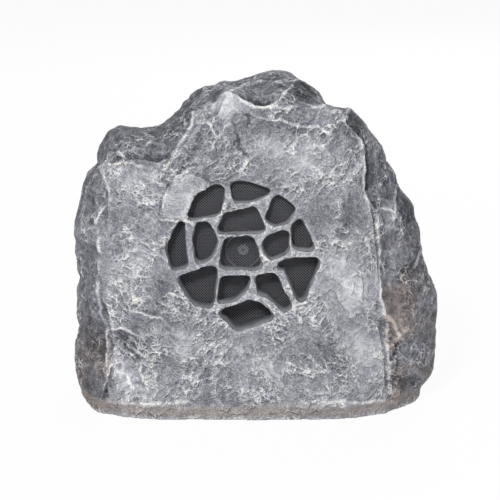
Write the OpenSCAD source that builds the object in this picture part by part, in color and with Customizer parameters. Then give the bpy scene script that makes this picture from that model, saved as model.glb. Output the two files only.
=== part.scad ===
// Garden loudspeaker cast as a boulder: a hollow stone-resin casing with fourteen sound holes in its
// front face, a wire grille behind them, a coaxial driver, a crossover and a flush base panel.
// The frame has +X to the right, +Y to the back and +Z up, with the origin in the middle of the base.

/* [Boulder] */
// Overall width of the boulder at its widest
rock_w = 390; // [360:5:430]
// Overall height of the boulder
rock_h = 346; // [326:4:378]
// Depth from the foot of the front face to the back
rock_d = 300; // [280:5:340]
// Thickness of the cast wall
wall_t = 7.5; // [7:0.5:10]
// Backward lean of the front face in degrees
face_lean = 5.5; // [4:0.5:7]
// How far the side edges of the front face curve back in plan
face_bow = 24; // [12:2:32]
// Height of the rugged relief on the sides and back
crag_h = 10; // [4:0.5:11]
// Height of the finer relief on the front face
face_crag_h = 2.2; // [1:0.2:3]

/* [Sound holes and grille] */
// Diameter of the circle that holds all the sound holes
pattern_d = 152; // [144:2:158]
// Height of the driver's axis above the ground
axis_z = 169; // [162:1:176]
// Sideways place of the driver's axis
axis_x = -14; // [-20:1:-8]
// Thickness of the ribs between the sound holes, at the axis
rib_t = 14; // [12:0.5:16]
// Widening of each sound hole from its back to its front
hole_draft = 1; // [0.4:0.2:1.6]
// How far each sound hole reaches past its drawn corners, which thins the ribs
hole_widen = 1; // [0:0.1:1.4]
// Thickness of the wire grille
mesh_t = 1.2; // [0.8:0.2:1.6]
// How far the grille reaches past the sound holes
mesh_lap = 3.5; // [2.5:0.5:5]

/* [Driver] */
// Height of the ring that holds the grille and clears the cone
spacer_h = 12; // [11:0.5:15]
// Thickness of the driver's foam gasket
gasket_t = 2; // [1:0.5:3]
// Thickness of the pressed steel basket
basket_t = 2; // [1.6:0.2:2.4]
// Depth of the cone from its rim to its neck
cone_depth = 25; // [22:1:28]
// Outer diameter of the voice coil former
former_d = 33; // [31:0.5:34]
// Outer diameter of the ferrite magnet
magnet_d = 100; // [90:2:106]
// Thickness of the ferrite magnet
magnet_t = 18; // [14:1:22]
// Outer diameter of the tweeter housing
tweeter_d = 36; // [32:1:38]
// Diameter of the tweeter's dome
dome_d = 13; // [10:0.5:15]

/* [Base and cable entry] */
// Thickness of the base panel
base_t = 6; // [5:0.5:8]
// Width of the casing's rim around the base panel
rim_w = 10; // [9:0.5:12]
// Width of the inner flange that the base panel screws to
ledge_w = 16; // [14:1:20]
// Thickness of the inner flange
ledge_t = 5; // [4:0.5:7]
// Thickness of the base panel's foam gasket
seal_t = 2; // [1:0.5:3]
// Bore of the rubber seal that grips the supply cable
cable_bore_d = 7.5; // [6:0.5:9]
// Outer diameter of the cable gland's thread
gland_d = 16; // [15:0.5:18]

/* [Crossover] */
// Length of the crossover board, side to side
board_w = 100; // [90:2:110]
// Depth of the crossover board, front to back
board_d = 70; // [64:2:76]
// Thickness of the crossover board
board_t = 1.6; // [1.2:0.2:2]
// Height of the stand-offs under the board
standoff_h = 8; // [6:1:12]
// Outer diameter of the air-cored inductor
inductor_d = 34; // [28:1:38]
// Diameter of each film capacitor
capacitor_d = 16; // [12:1:18]

/* [Hidden] */
$fn = 64;

// Clearance round a piece that drops into a recess
fit_gap = 0.4;
// Clearance between a screw's shank and the holes it passes
screw_gap = 0.3;
// Running clearance of the voice coil in its gap
coil_gap = 0.6;

// The size at which the two outlines below were drawn
DRAWN_W = 390;
DRAWN_H = 346;
// Edge of the front face as seen from the front, [x, z], anticlockwise from the lower right corner
CREST = [[143, 0], [142, 11], [134, 27], [132, 54], [129, 72], [124, 105], [124, 136], [122, 170], [117, 209], [113, 226],
    [103, 236], [105, 255], [103, 278], [99, 290], [89, 298], [88, 315], [67, 318], [47, 320], [30, 326],
    [7, 319], [-6, 322], [-22, 334], [-35, 331], [-36, 312], [-58, 302], [-72, 283], [-89, 262], [-107, 266],
    [-137, 266], [-150, 260], [-152, 220], [-150, 200], [-164, 181], [-163, 147], [-160, 124], [-155, 112],
    [-151, 95], [-149, 65], [-153, 34], [-164, 14], [-166, 0]];
// Widest outline of the boulder, about a fifth of the way back, drawn the same way
GIRTH = [[166, 0], [175, 11], [184, 22], [189, 44], [192, 62], [191, 78], [193, 100], [189, 119], [180, 134],
    [173, 154], [169, 184], [161, 213], [147, 220], [137, 248], [127, 271], [114, 293], [97, 306], [89, 311],
    [79, 307], [66, 312], [63, 325], [51, 335], [38, 345], [28, 347], [10, 344], [-3, 340], [-20, 335],
    [-26, 340], [-32, 336], [-60, 330], [-82, 306], [-93, 292], [-105, 288], [-117, 287], [-136, 292],
    [-147, 291], [-157, 282], [-164, 268], [-166, 248], [-178, 240], [-182, 229], [-184, 206], [-187, 196],
    [-190, 178], [-192, 152], [-185, 126], [-192, 114], [-188, 105], [-191, 92], [-186, 85], [-187, 70],
    [-193, 44], [-191, 24], [-186, 9], [-177, 0]];
// Rings of the skin behind the front face: share of the way back, share of the way from the crest to the
// girth, size beside the girth's, and the way the surface faces, from -90 for the front to 90 for the back
SIDE_RINGS = [[0, 0, 1, -60], [0.03, 0.35, 1, -45], [0.07, 0.62, 1, -35], [0.12, 0.85, 1, -22],
    [0.18, 0.98, 1, -8], [0.25, 1, 0.99, 0], [0.33, 1, 0.965, 8], [0.42, 1, 0.935, 12], [0.52, 1, 0.895, 16],
    [0.62, 1, 0.845, 22], [0.71, 1, 0.785, 32], [0.79, 1, 0.715, 40], [0.87, 1, 0.63, 50], [0.94, 1, 0.54, 60],
    [0.985, 1, 0.44, 70], [1, 1, 0.32, 85], [1, 1, 0.15, 90]];
// Rings of the front face, as shares of the way from the flat round the sound holes to the crest
FACE_RINGS = [0, 0.2, 0.38, 0.54, 0.68, 0.8, 0.9, 0.97];
SKIN_STEP = 4;
CAVITY_STEP = 8;
// Chips, hollows and swellings of the front face: centre [x, z], half width, half height, depth
FACE_MARKS = [[-133, 76, 19, 17, 7], [-118, 62, 12, 14, 4], [-78, 226, 22, 30, 3], [-44, 304, 12, 20, 5],
    [-52, 268, 14, 26, -3], [15, 250, 30, 26, -2.5], [96, 150, 18, 42, -3], [104, 270, 14, 40, 3],
    [60, 232, 34, 16, 2], [-120, 130, 34, 30, -3], [-130, 210, 20, 30, 2], [40, 60, 40, 14, 2.5],
    [80, 30, 40, 16, -3], [-60, 44, 60, 14, 2.5], [-10, 24, 60, 10, -2], [50, 290, 30, 12, 3]];

// The sound holes, as convex cells round the driver's axis when the pattern is drawn 152 across. Each corner
// is [right, up, corner radius], and cells that overlap make one hole with a bend or a nose in it
DRAWN_PATTERN = 152;
SOUND_CELLS = [
    [[-25, 65, 7], [-51, 42, 4.5], [-29, 48, 7], [-41, 58, 7]],
    [[-9, 71, 3.5], [-6, 59, 4], [24, 65, 3], [8, 59, 3.5], [1, 72, 3]],
    [[34, 58, 3.5], [48, 47, 4], [33, 36, 5], [27, 39, 4.5], [41, 38, 4.5]],
    [[-20, 28, 5], [-14, 39, 5], [10, 45, 4.5], [19, 28, 3]],
    [[-62, 32, 3.2], [-72, 7, 4.5], [-61, 10, 3]],
    [[-72, 7, 4.5], [-61, 10, 3], [-68, -10, 3.6], [-59, -7, 3.4]],
    [[-43, 30, 4.3], [-37, 30, 4.3], [-29, 15, 3.6], [-36, 1, 4.3], [-43, -2, 4.3], [-46, 15, 4]],
    [[-17, -6, 6], [-12.5, 12, 7], [6, 14, 5.5], [13, -8, 5]],
    [[24, 12, 4.5], [28, 17, 4], [42, 22, 3.5], [41, 7, 4], [29, 2, 4.5]],
    [[56, 33, 4], [52, 29, 3.5], [67, 10, 3.5], [54, 12, 4]],
    [[44, -7, 4.2], [72, -6, 4.2], [58, -42, 3.2]],
    [[44, -7, 4.2], [38, -10, 3]],
    [[-59, -24, 5], [-32, -16, 5.5], [-35, -47, 5], [-46, -44, 5]],
    [[-19, -24, 3], [4, -23, 3], [-22, -44, 3], [-9, -40, 4], [1, -31, 3.5]],
    [[17, -23, 4.2], [29, -22, 4.5], [20, -34, 4.7], [35, -36, 4.7]],
    [[35, -36, 4.7], [28, -36, 5.5], [43, -50, 5]],
    [[-19, -58, 3.4], [6, -50, 4.5], [16, -52, 4.5], [26, -61, 3.4], [-4, -71, 3.6]]];
// Corner circles of the sound holes are drawn with this many sides
CELL_FN = 12;

// Places along the driver's axis, measured outwards from the front of the grille
mesh_back = -mesh_t;
spacer_back = mesh_back - spacer_h;
gasket_back = spacer_back - gasket_t;
basket_back = gasket_back - basket_t;
// Diameters that follow from the pattern of sound holes
mesh_d = pattern_d + 2 * mesh_lap;
screw_d = 3.8;
screw_head_d = 8;
screw_head_h = 2.6;
screw_edge = 2.6;
screw_pcd = mesh_d + screw_d + 2 * screw_edge;
driver_d = screw_pcd + 12;
pad_d = driver_d + 8;
spacer_bore_d = pattern_d + 1;
screw_count = 6;
// The moving parts of the woofer
surround_d = pattern_d - 3;
roll_r = 5;
roll_wall = 0.8;
landing_w = 4;
cone_d = surround_d - 2 * landing_w - 4 * roll_r;
cone_t = 1;
former_t = 0.4;
cone_neck_z = gasket_back - cone_depth;
shelf_z = cone_neck_z - 6;
basket_floor_z = shelf_z - 12;
plate_front_z = basket_floor_z - basket_t;
plate_t = 6;
plate_d = magnet_d - 8;
plate_back_z = plate_front_z - plate_t;
magnet_back_z = plate_back_z - magnet_t;
yoke_back_z = magnet_back_z - plate_t;
winding_t = 0.5;
pole_d = former_d - 2 * former_t - 2 * coil_gap;
plate_bore_d = former_d + 2 * winding_t + 2 * coil_gap;
former_back_z = plate_back_z - 5;
shelf_d = magnet_d - 6;
// The tweeter on its post
post_d = 8;
post_bore_d = 4.4;
tweeter_front_z = gasket_back + 6;
tweeter_back_z = tweeter_front_z - 20;
can_d = former_d - 6;

// Heights above the ground at the base
seal_bottom_z = base_t;
ledge_bottom_z = base_t + seal_t;
ledge_top_z = ledge_bottom_z + ledge_t;
base_screw_d = 4;
base_screw_head_d = 8.4;
base_screw_head_h = 3;
// Where the base screws stand: index of a skin ring behind the crest, and which side
BASE_SCREWS = [[2, -1], [2, 1], [6, -1], [6, 1], [10, -1], [10, 1], [13, -1], [13, 1]];

// The crossover stands on the base panel
board_x = 0;
board_y = 52;
board_inset = 5;
board_z = base_t + standoff_h;
board_top_z = board_z + board_t;
standoff_d = 9;
board_screw_d = 3;

// The cable gland in the back wall
gland_x = 34;
gland_z = 46;
gland_sink = 5;
gland_wall = 8;
gland_across = 22;
gland_tube_t = 2.2;
collar_t = 5;
seal_pocket_d = gland_d - 3;
seal_pocket_h = 11;
gland_y = rock_d / 2 - gland_sink;

function total(v) = v * [for (i = v) 1];
function cross2(a, b) = a[0] * b[1] - a[1] * b[0];
function drawn(outline) = [for (p = outline) [p[0] * rock_w / DRAWN_W, p[1] * rock_h / DRAWN_H]];
crest = drawn(CREST);
girth = drawn(GIRTH);
hub = [axis_x, axis_z];

// Distance from the driver's axis to an outline, in a direction
function reach(outline, a) =
    let (d = [cos(a), sin(a)], n = len(outline))
    max([for (i = [0:n - 1])
        let (p = outline[i] - hub, e = outline[(i + 1) % n] - outline[i], k = cross2(d, e))
        abs(k) < 1e-9 ? 0 :
        let (t = cross2(p, e) / k, u = cross2(p, d) / k)
        t > 0 && u > -1e-6 && u < 1 + 1e-6 ? t : 0]);

// The outlines run on below the ground, where the boulder is cut off flat
FLOOR_DROP = 60;
function dropped(outline) = [for (p = outline) p[1] < 0.5 ? [p[0], -FLOOR_DROP] : p];

// The same distance at every step round the axis, then smoothed, and then its least value near by
function directions(step) = [for (a = [0:step:359.9]) [cos(a), sin(a)]];
function reaches(outline, step) = [for (a = [0:step:359.9]) reach(outline, a)];
function smoothed(r, half) = [for (i = [0:len(r) - 1])
    total([for (k = [-half:half]) r[(i + k + len(r)) % len(r)] * (half + 1 - abs(k))]) / pow(half + 1, 2)];
function near_reaches(outline, step) = [for (a = [0:step:359.9]) min([for (b = [-4:4:4]) reach(outline, a + b)])];

// Depth of the smooth front face: it leans back, bows at the sides and rolls under at the foot
flat_r = pattern_d / 2 + 4;
FOOT_H = 13;
function face_y(x, z) = -rock_d / 2 + z * tan(face_lean)
    + face_bow * pow(max(0, abs(x - axis_x) - flat_r) / 75, 2)
    + 0.035 * pow(max(0, FOOT_H - max(z, 0)), 2);
seat_y = face_y(axis_x, axis_z) + rib_t;

// Ridged waves in crossing directions, each between -1 and 1, for the broken faces of the stone
function wave(p, dir, length) = 1 - 2 * abs(sin(180 * (p * dir) / length));
function crag(p) =
    let (q = p + 9 * [sin(3.1 * p[2]), sin(2.3 * p[0]), sin(2.7 * p[1])])
    0.4 * wave(q, [0.62, 0.35, 0.7], 112) + 0.32 * wave(q, [-0.5, 0.7, 0.5], 67)
    + 0.24 * wave(q, [0.5, 0.45, -0.74], 46) + 0.24 * wave(q, [-0.3, 0.85, 0.42], 52);
function face_crag(x, z) =
    0.5 * wave([x, z + 6 * sin(4 * x), 0], [0.55, 0.83, 0], 61)
    + 0.5 * wave([x + 5 * sin(5 * z), z, 0], [-0.8, 0.6, 0], 34);
function face_mark(x, z) = total([for (m = FACE_MARKS)
    m[4] * exp(-pow(pow((x - m[0]) / m[2], 2) + pow((z - m[1]) / m[3], 2), 2))]);

// The relief fades out round the sound holes, so the ribs keep their thickness
function calm(x, z) = min(1, max(0, norm([x, z] - hub) - flat_r) / 28);
function face_point(x, z) = [x, face_y(x, z) + face_mark(x, z) * calm(x, z)
    - face_crag_h * face_crag(x, z) * calm(x, z), z];

// Rings of the front face and of the sides, worked out in each direction from the driver's axis. Bumps of
// the widest outline die away towards the back, so they don't run on as pleats
skin_dirs = directions(SKIN_STEP);
skin_crest = reaches(dropped(crest), SKIN_STEP);
skin_girth = reaches(dropped(girth), SKIN_STEP);
skin_round = smoothed(skin_girth, 5);
function face_ring(share) = [for (i = [0:len(skin_dirs) - 1])
    let (p = hub + (flat_r + share * (skin_crest[i] - flat_r)) * skin_dirs[i]) face_point(p[0], p[1])];
function side_ring(ring) = [for (i = [0:len(skin_dirs) - 1])
    let (d = skin_dirs[i],
        even = min(1, max(0, ring[0] - 0.22) * 2),
        wide = skin_girth[i] * (1 - even) + skin_round[i] * even,
        p = (hub + (skin_crest[i] * (1 - ring[1]) + wide * ring[1]) * d) * ring[2],
        edge = hub + skin_crest[i] * d,
        y = face_point(edge[0], edge[1])[1] * (1 - ring[0]) + rock_d / 2 * ring[0],
        out = [d[0] * cos(ring[3]), sin(ring[3]), d[1] * cos(ring[3])],
        rough = crag_h * min(1, 0.2 + abs(ring[0] - 0.18) * 4) * min(1, max(0.2, 0.3 + p[1] / 40)),
        q = [p[0], y, p[1]] + rough * crag([p[0], y, p[1]]) * out)
    [q[0], min(q[1], rock_d / 2 - 40 * (1 - ring[0])), q[2]]];

// A closed skin through rings with the same number of points, and a point that closes each end
module rings_solid(rings, first, last) {
    n = len(rings[0]);
    m = len(rings);
    points = [first, for (r = rings) each r, last];
    faces = [
        for (i = [0:n - 1]) [0, 1 + (i + 1) % n, 1 + i],
        for (j = [0:m - 2], i = [0:n - 1])
            let (a = 1 + j * n + i, b = 1 + j * n + (i + 1) % n)
            each [[a, b + n, a + n], [a, b, b + n]],
        for (i = [0:n - 1]) [1 + m * n, 1 + (m - 1) * n + i, 1 + (m - 1) * n + (i + 1) % n]];
    polyhedron(points, faces, convexity = 10);
}

// A skin is drawn with its face upright and then sheared, so that the flat round the holes stays truly flat
function upright(p) = p - [0, p[2] * tan(face_lean), 0];
module leaning_solid(rings, first, last)
    multmatrix([[1, 0, 0, 0], [0, 1, tan(face_lean), 0], [0, 0, 1, 0], [0, 0, 0, 1]])
    rings_solid([for (r = rings) [for (p = r) upright(p)]], upright(first), upright(last));

// The boulder as one solid lump
module rock_lump() difference() {
    last = SIDE_RINGS[len(SIDE_RINGS) - 1];
    rings = [for (s = FACE_RINGS) face_ring(s), for (r = SIDE_RINGS) side_ring(r)];
    leaning_solid(rings, face_point(hub[0], hub[1]), [hub[0] * last[2], rock_d / 2, hub[1] * last[2]]);
    translate([-rock_w, -rock_d, -2 * rock_h]) cube([2 * rock_w, 2 * rock_d, 2 * rock_h]);
}

// The hollow follows the same outlines, a wall inside them, and runs out through the floor
hollow_dirs = directions(CAVITY_STEP);
hollow_crest = near_reaches(dropped(crest), CAVITY_STEP);
hollow_girth = near_reaches(dropped(girth), CAVITY_STEP);
hollow_round = smoothed(hollow_girth, 2);
hollow_inset = wall_t + crag_h / 6;
hollow_back_y = rock_d / 2 - wall_t - crag_h / 2;
function hollow_ring(ring) = [for (i = [0:len(hollow_dirs) - 1])
    let (d = hollow_dirs[i],
        even = min(1, max(0, ring[0] - 0.22) * 2),
        wide = hollow_girth[i] * (1 - even) + min(hollow_girth[i], hollow_round[i]) * even,
        r = hollow_crest[i] * (1 - ring[1]) + wide * ring[1],
        p = (hub + r * d) * ring[2] - (hollow_inset + 2 * even) * d,
        edge = hub + hollow_crest[i] * d,
        front = face_y(edge[0], max(0, edge[1])) + wall_t + face_crag_h)
    [p[0], front * (1 - ring[0]) + hollow_back_y * ring[0], p[1]]];
function hollow_face_ring(share) = [for (i = [0:len(hollow_dirs) - 1])
    let (p = hub + (share * hollow_crest[i] - hollow_inset) * hollow_dirs[i])
    [p[0], face_y(p[0], max(0, p[1])) + wall_t + face_crag_h, p[1]]];
module rock_hollow() {
    last = SIDE_RINGS[len(SIDE_RINGS) - 1];
    rings = [for (s = [0.5, 0.8]) hollow_face_ring(s), for (r = SIDE_RINGS) hollow_ring(r)];
    leaning_solid(rings, [hub[0], face_y(hub[0], hub[1]) + wall_t + face_crag_h, hub[1]],
        [hub[0] * last[2], hollow_back_y, hub[1] * last[2]]);
}

// Plan of the boulder where it meets the ground, as points down the right side and back up the left
function floor_x(ring, side) =
    let (a = side > 0 ? crest[0][0] : crest[len(crest) - 1][0], b = side > 0 ? girth[0][0] : girth[len(girth) - 1][0])
    (a * (1 - ring[1]) + b * ring[1]) * ring[2];
function floor_point(ring, side) =
    let (front = face_y(side > 0 ? crest[0][0] : crest[len(crest) - 1][0], 0))
    [floor_x(ring, side), front * (1 - ring[0]) + rock_d / 2 * ring[0]];
FRONT_STEPS = 8;
FLOOR_RINGS = 14;
function front_x(i) = let (l = crest[len(crest) - 1][0], r = crest[0][0]) l + (r - l) * i / FRONT_STEPS;
floor_plan = [for (i = [1:FRONT_STEPS - 1]) [front_x(i), face_y(front_x(i), 0)],
    for (j = [0:FLOOR_RINGS]) floor_point(SIDE_RINGS[j], 1),
    for (j = [FLOOR_RINGS:-1:0]) floor_point(SIDE_RINGS[j], -1)];
module floor_area(inset) offset(delta = -inset) polygon(floor_plan);

// Where a base screw stands, half way across the inner flange
function base_screw_at(s) =
    let (p = floor_point(SIDE_RINGS[s[0]], s[1]), b = floor_point(SIDE_RINGS[s[0] - 1], s[1]),
        c = floor_point(SIDE_RINGS[s[0] + 1], s[1]), t = (c - b) / norm(c - b))
    p + (rim_w + ledge_w / 2) * s[1] * [-t[1], t[0]];

// Puts a shape on the driver's axis, with the shape's own +Z pointing out of the front
module on_axis() translate([axis_x, seat_y, axis_z]) rotate([90, 0, 0]) children();
module tube(outer_d, inner_d, bottom, top) translate([0, 0, bottom]) difference() {
    cylinder(d = outer_d, h = top - bottom);
    translate([0, 0, -1]) cylinder(d = inner_d, h = top - bottom + 2);
}
module at_driver_screws(start = 0) for (i = [0:screw_count - 1])
    rotate(start + i * 360 / screw_count) translate([screw_pcd / 2, 0, 0]) children();

// One cell of a sound hole, tapered so that the casting leaves its mould
module sound_cell(corners) {
    k = pattern_d / DRAWN_PATTERN;
    length = rib_t + 30;
    spread = hole_draft * length / rib_t;
    hull() for (c = corners) translate([c[0] * k, c[1] * k, -1])
        cylinder(r1 = c[2] * k + hole_widen - hole_draft, r2 = c[2] * k + hole_widen - hole_draft + spread,
            h = length, $fn = CELL_FN);
}

// A moulded screw hole in the casting, whose flats clear the screw's shank
PILOT_FN = 12;
module pilot_hole(d, h) cylinder(d = (d + 0.1) / cos(180 / PILOT_FN), h = h, $fn = PILOT_FN);

module rock_shell() color("#8f9094") difference() {
    union() {
        difference() {
            rock_lump();
            difference() {
                rock_hollow();
                translate([-rock_w, -rock_d, -rock_h]) cube([2 * rock_w, 2 * rock_d, rock_h + ledge_top_z]);
            }
            translate([0, 0, -1]) linear_extrude(ledge_bottom_z + 1) floor_area(rim_w);
            translate([0, 0, ledge_bottom_z - 1]) linear_extrude(ledge_t + 2) floor_area(rim_w + ledge_w);
        }
        intersection() {
            rock_lump();
            union() {
                on_axis() translate([0, 0, mesh_back - 3]) cylinder(d = pad_d, h = 60);
                for (s = BASE_SCREWS) translate([each base_screw_at(s), ledge_bottom_z])
                    cylinder(d = ledge_w - 1, h = 16, $fn = 24);
                translate([gland_x, gland_y - gland_wall, gland_z]) rotate([-90, 0, 0])
                    cylinder(d = gland_across + 14, h = 40, $fn = 32);
            }
        }
    }
    on_axis() {
        for (cell = SOUND_CELLS) sound_cell(cell);
        translate([0, 0, mesh_back - 1]) cylinder(d = mesh_d + 2 * fit_gap, h = mesh_t + 1);
        translate([0, 0, mesh_back - 60]) cylinder(d = pad_d + 2, h = 60);
        translate([0, 0, mesh_back - 1]) at_driver_screws() pilot_hole(screw_d, 6);
    }
    for (s = BASE_SCREWS) translate([each base_screw_at(s), 0]) pilot_hole(base_screw_d, 20);
    translate([gland_x, 0, gland_z]) rotate([-90, 0, 0]) {
        translate([0, 0, gland_y]) cylinder(d = gland_across + 12, h = 60, $fn = 32);
        translate([0, 0, gland_y - gland_wall - 20]) cylinder(d = gland_across + 10, h = 20, $fn = 32);
        cylinder(d = gland_d + fit_gap, h = rock_d, $fn = 32);
    }
}

// The wire grille keeps up to 120 openings here, and its real weave is far finer
MESH_HOLE_D = 6;
MESH_PITCH = 12.6;
module grille_mesh() color("#26272a") on_axis() translate([0, 0, mesh_back]) difference() {
    cylinder(d = mesh_d, h = mesh_t);
    for (row = [-6:6], col = [-6:6]) {
        x = (col + (row % 2 == 0 ? 0 : 0.5)) * MESH_PITCH;
        y = row * MESH_PITCH * sqrt(3) / 2;
        if (norm([x, y]) < (pattern_d - MESH_HOLE_D) / 2)
            translate([x, y, -1]) cylinder(d = MESH_HOLE_D, h = mesh_t + 2);
    }
}

module spacer_ring() color("#1d1e20") on_axis() difference() {
    tube(driver_d, spacer_bore_d, spacer_back, mesh_back);
    at_driver_screws() translate([0, 0, spacer_back - 1])
        cylinder(d = screw_d + 2 * screw_gap, h = spacer_h + 2);
}

module driver_gasket() color("#2b2b2d") on_axis() difference() {
    tube(driver_d, surround_d + 2 * fit_gap, gasket_back, spacer_back);
    at_driver_screws() translate([0, 0, gasket_back - 1])
        cylinder(d = screw_d + 2 * screw_gap, h = gasket_t + 2);
}

// Pan-headed screws go in from behind, through the basket's flange into the casing
module driver_screws() color("#55575a") on_axis() at_driver_screws() {
    translate([0, 0, basket_back - screw_head_h]) cylinder(d = screw_head_d, h = screw_head_h);
    translate([0, 0, basket_back]) cylinder(d = screw_d, h = mesh_back - basket_back + 4);
}

// Half section of the pressed basket: flange, sloping wall, spider shelf, lower wall and floor
module basket() color("#3a3b3e") on_axis() difference() {
    rotate_extrude() polygon([[driver_d / 2, gasket_back], [cone_d / 2 + 4, gasket_back],
        [shelf_d / 2 - 1, shelf_z], [shelf_d / 2 - 6, shelf_z], [shelf_d / 2 - 6, plate_front_z + basket_t],
        [plate_bore_d / 2 + 4, plate_front_z + basket_t], [plate_bore_d / 2 + 4, plate_front_z],
        [shelf_d / 2 - 6 + basket_t, plate_front_z], [shelf_d / 2 - 6 + basket_t, shelf_z - basket_t],
        [shelf_d / 2 + 1, shelf_z - basket_t], [cone_d / 2 + 6.5, basket_back], [driver_d / 2, basket_back]]);
    at_driver_screws() translate([0, 0, basket_back - 1])
        cylinder(d = screw_d + 2 * screw_gap, h = basket_t + 2);
    for (i = [0:screw_count - 1]) rotate((i + 0.5) * 360 / screw_count) {
        window_z = (shelf_z + basket_back) / 2;
        window_h = (basket_back - shelf_z) / 2;
        translate([shelf_d / 2 - 4, -16, window_z - window_h / 2]) cube([34, 32, window_h]);
    }
}

// Rubber half roll with a flat landing outside it and a narrow one on the cone
module surround() color("#18191a") on_axis() {
    roll_c = cone_d / 2 + landing_w / 2 + roll_r;
    rotate_extrude() union() {
        difference() {
            translate([roll_c, gasket_back]) circle(r = roll_r);
            translate([roll_c, gasket_back]) circle(r = roll_r - roll_wall);
            translate([0, gasket_back - 20]) square([200, 20]);
        }
        translate([roll_c + roll_r - roll_wall, gasket_back])
            square([surround_d / 2 - roll_c - roll_r + roll_wall, roll_wall]);
        translate([cone_d / 2 - 1, gasket_back]) square([roll_c - roll_r + roll_wall - cone_d / 2 + 1, roll_wall]);
    }
}

// Paper cone with a gentle flare, glued to the former at its neck
CONE_STEPS = 8;
cone_rim_r = cone_d / 2 + landing_w / 2 - 0.6;
function cone_point(t) = [former_d / 2 + (cone_rim_r - former_d / 2) * t,
    cone_neck_z + (cone_depth - 0.2) * pow(t, 0.86)];
module cone() color("#202123") on_axis() rotate_extrude() polygon([
    for (i = [0:CONE_STEPS]) cone_point(i / CONE_STEPS),
    for (i = [CONE_STEPS:-1:0]) cone_point(i / CONE_STEPS) - [i == 0 ? 0 : 0.3, cone_t]]);

module voice_coil() color("#b8733a") on_axis() {
    tube(former_d, former_d - 2 * former_t, former_back_z, cone_neck_z + 2);
    tube(former_d + 2 * winding_t, former_d - former_t, plate_back_z - 3, plate_front_z + 3);
}

// Corrugated cloth damper between the former and the basket's shelf
SPIDER_STEPS = 36;
spider_in_r = former_d / 2;
spider_out_r = shelf_d / 2 - 2;
SPIDER_RIM_W = 5;
function spider_point(t) =
    let (r = spider_in_r + (spider_out_r - spider_in_r) * t,
        span = min(1, (r - spider_in_r) / (spider_out_r - SPIDER_RIM_W - spider_in_r)))
    [r, shelf_z + 0.9 * (1 - cos(360 * 5 * span))];
module spider() color("#b39a5c") on_axis() rotate_extrude() polygon([
    for (i = [0:SPIDER_STEPS]) spider_point(i / SPIDER_STEPS),
    for (i = [SPIDER_STEPS:-1:0]) spider_point(i / SPIDER_STEPS) + [0, 0.5]]);

module top_plate() color("#9a9ca0") on_axis() tube(plate_d, plate_bore_d, plate_back_z, plate_front_z);

module magnet() color("#333438") on_axis() tube(magnet_d, plate_bore_d + 14, magnet_back_z, plate_back_z);

// Back plate and pole in one turned piece, bored for the tweeter's post
module yoke() color("#9a9ca0") on_axis() difference() {
    union() {
        translate([0, 0, yoke_back_z]) cylinder(d = plate_d, h = plate_t);
        translate([0, 0, yoke_back_z]) cylinder(d = pole_d, h = plate_front_z + 2 - yoke_back_z);
    }
    translate([0, 0, yoke_back_z - 1]) cylinder(d = post_d, h = plate_front_z - yoke_back_z + 4);
}

// Strip with two tabs on the basket's lower leg
strip_w = 24;
strip_h = 11;
module terminal_strip() color("#7a5a34") on_axis() {
    leg_r = shelf_d / 2 - 6 + basket_t;
    translate([-strip_w / 2, -leg_r - 3.2, plate_front_z + 0.3]) cube([strip_w, 3, strip_h]);
    for (x = [-7, 7]) translate([x - 2.4, -leg_r - 9.2, plate_front_z + 5]) cube([4.8, 7, 0.8]);
}

module tweeter_post() color("#8a8c90") on_axis() {
    tube(post_d, post_bore_d, yoke_back_z, tweeter_back_z);
    tube(post_d + 6, post_bore_d, plate_front_z + 2, plate_front_z + 6);
}

// Tweeter cup: a can behind, a flared rim in front and a shallow horn down to the dome
module tweeter_housing() color("#232427") on_axis() rotate_extrude() {
    rim_r = tweeter_d / 2;
    can_r = can_d / 2;
    polygon([[post_bore_d / 2, tweeter_back_z], [can_r, tweeter_back_z], [can_r, tweeter_front_z - 6],
        [rim_r, tweeter_front_z - 3], [rim_r, tweeter_front_z], [rim_r - 2, tweeter_front_z + 0.6],
        [rim_r - 4, tweeter_front_z - 1], [dome_d / 2 + 1, tweeter_front_z - 6],
        [dome_d / 2 + 1, tweeter_front_z - 9], [post_bore_d / 2, tweeter_front_z - 9]]);
}

// Shallow dome on a short voice coil, drawn as half its section
DOME_H = 3.2;
DOME_STEPS = 10;
dome_sphere_r = (pow(dome_d / 2, 2) + pow(DOME_H, 2)) / (2 * DOME_H);
dome_half_angle = asin(dome_d / 2 / dome_sphere_r);
module tweeter_dome() color("#8d8f94") on_axis() translate([0, 0, tweeter_front_z - 6]) rotate_extrude()
    polygon([[0, -3], [dome_d / 2, -3], for (i = [DOME_STEPS:-1:0])
        let (a = dome_half_angle * i / DOME_STEPS)
        [i == 0 ? 0 : dome_sphere_r * sin(a), DOME_H - dome_sphere_r * (1 - cos(a))]]);

// Panel that closes the base, with sunk screw holes and four stand-offs for the crossover
module base_plate() color("#2f3033") difference() {
    union() {
        linear_extrude(base_t) floor_area(rim_w + fit_gap);
        at_board_corners() translate([0, 0, base_t]) cylinder(d = standoff_d, h = standoff_h);
    }
    for (s = BASE_SCREWS) translate([each base_screw_at(s), 0]) {
        translate([0, 0, -1]) cylinder(d = base_screw_d + 2 * screw_gap, h = base_t + 2);
        translate([0, 0, -1]) cylinder(d = base_screw_head_d + 2 * screw_gap, h = base_screw_head_h + 1.2);
    }
    at_board_corners() translate([0, 0, base_t + 1]) cylinder(d = board_screw_d, h = standoff_h);
}

module base_gasket() color("#1b1c1d") translate([0, 0, seal_bottom_z]) difference() {
    linear_extrude(seal_t) floor_area(rim_w + fit_gap);
    translate([0, 0, -1]) linear_extrude(seal_t + 2) floor_area(rim_w + ledge_w);
    for (s = BASE_SCREWS) translate([each base_screw_at(s), -1])
        cylinder(d = base_screw_d + 2 * screw_gap, h = seal_t + 2);
}

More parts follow.
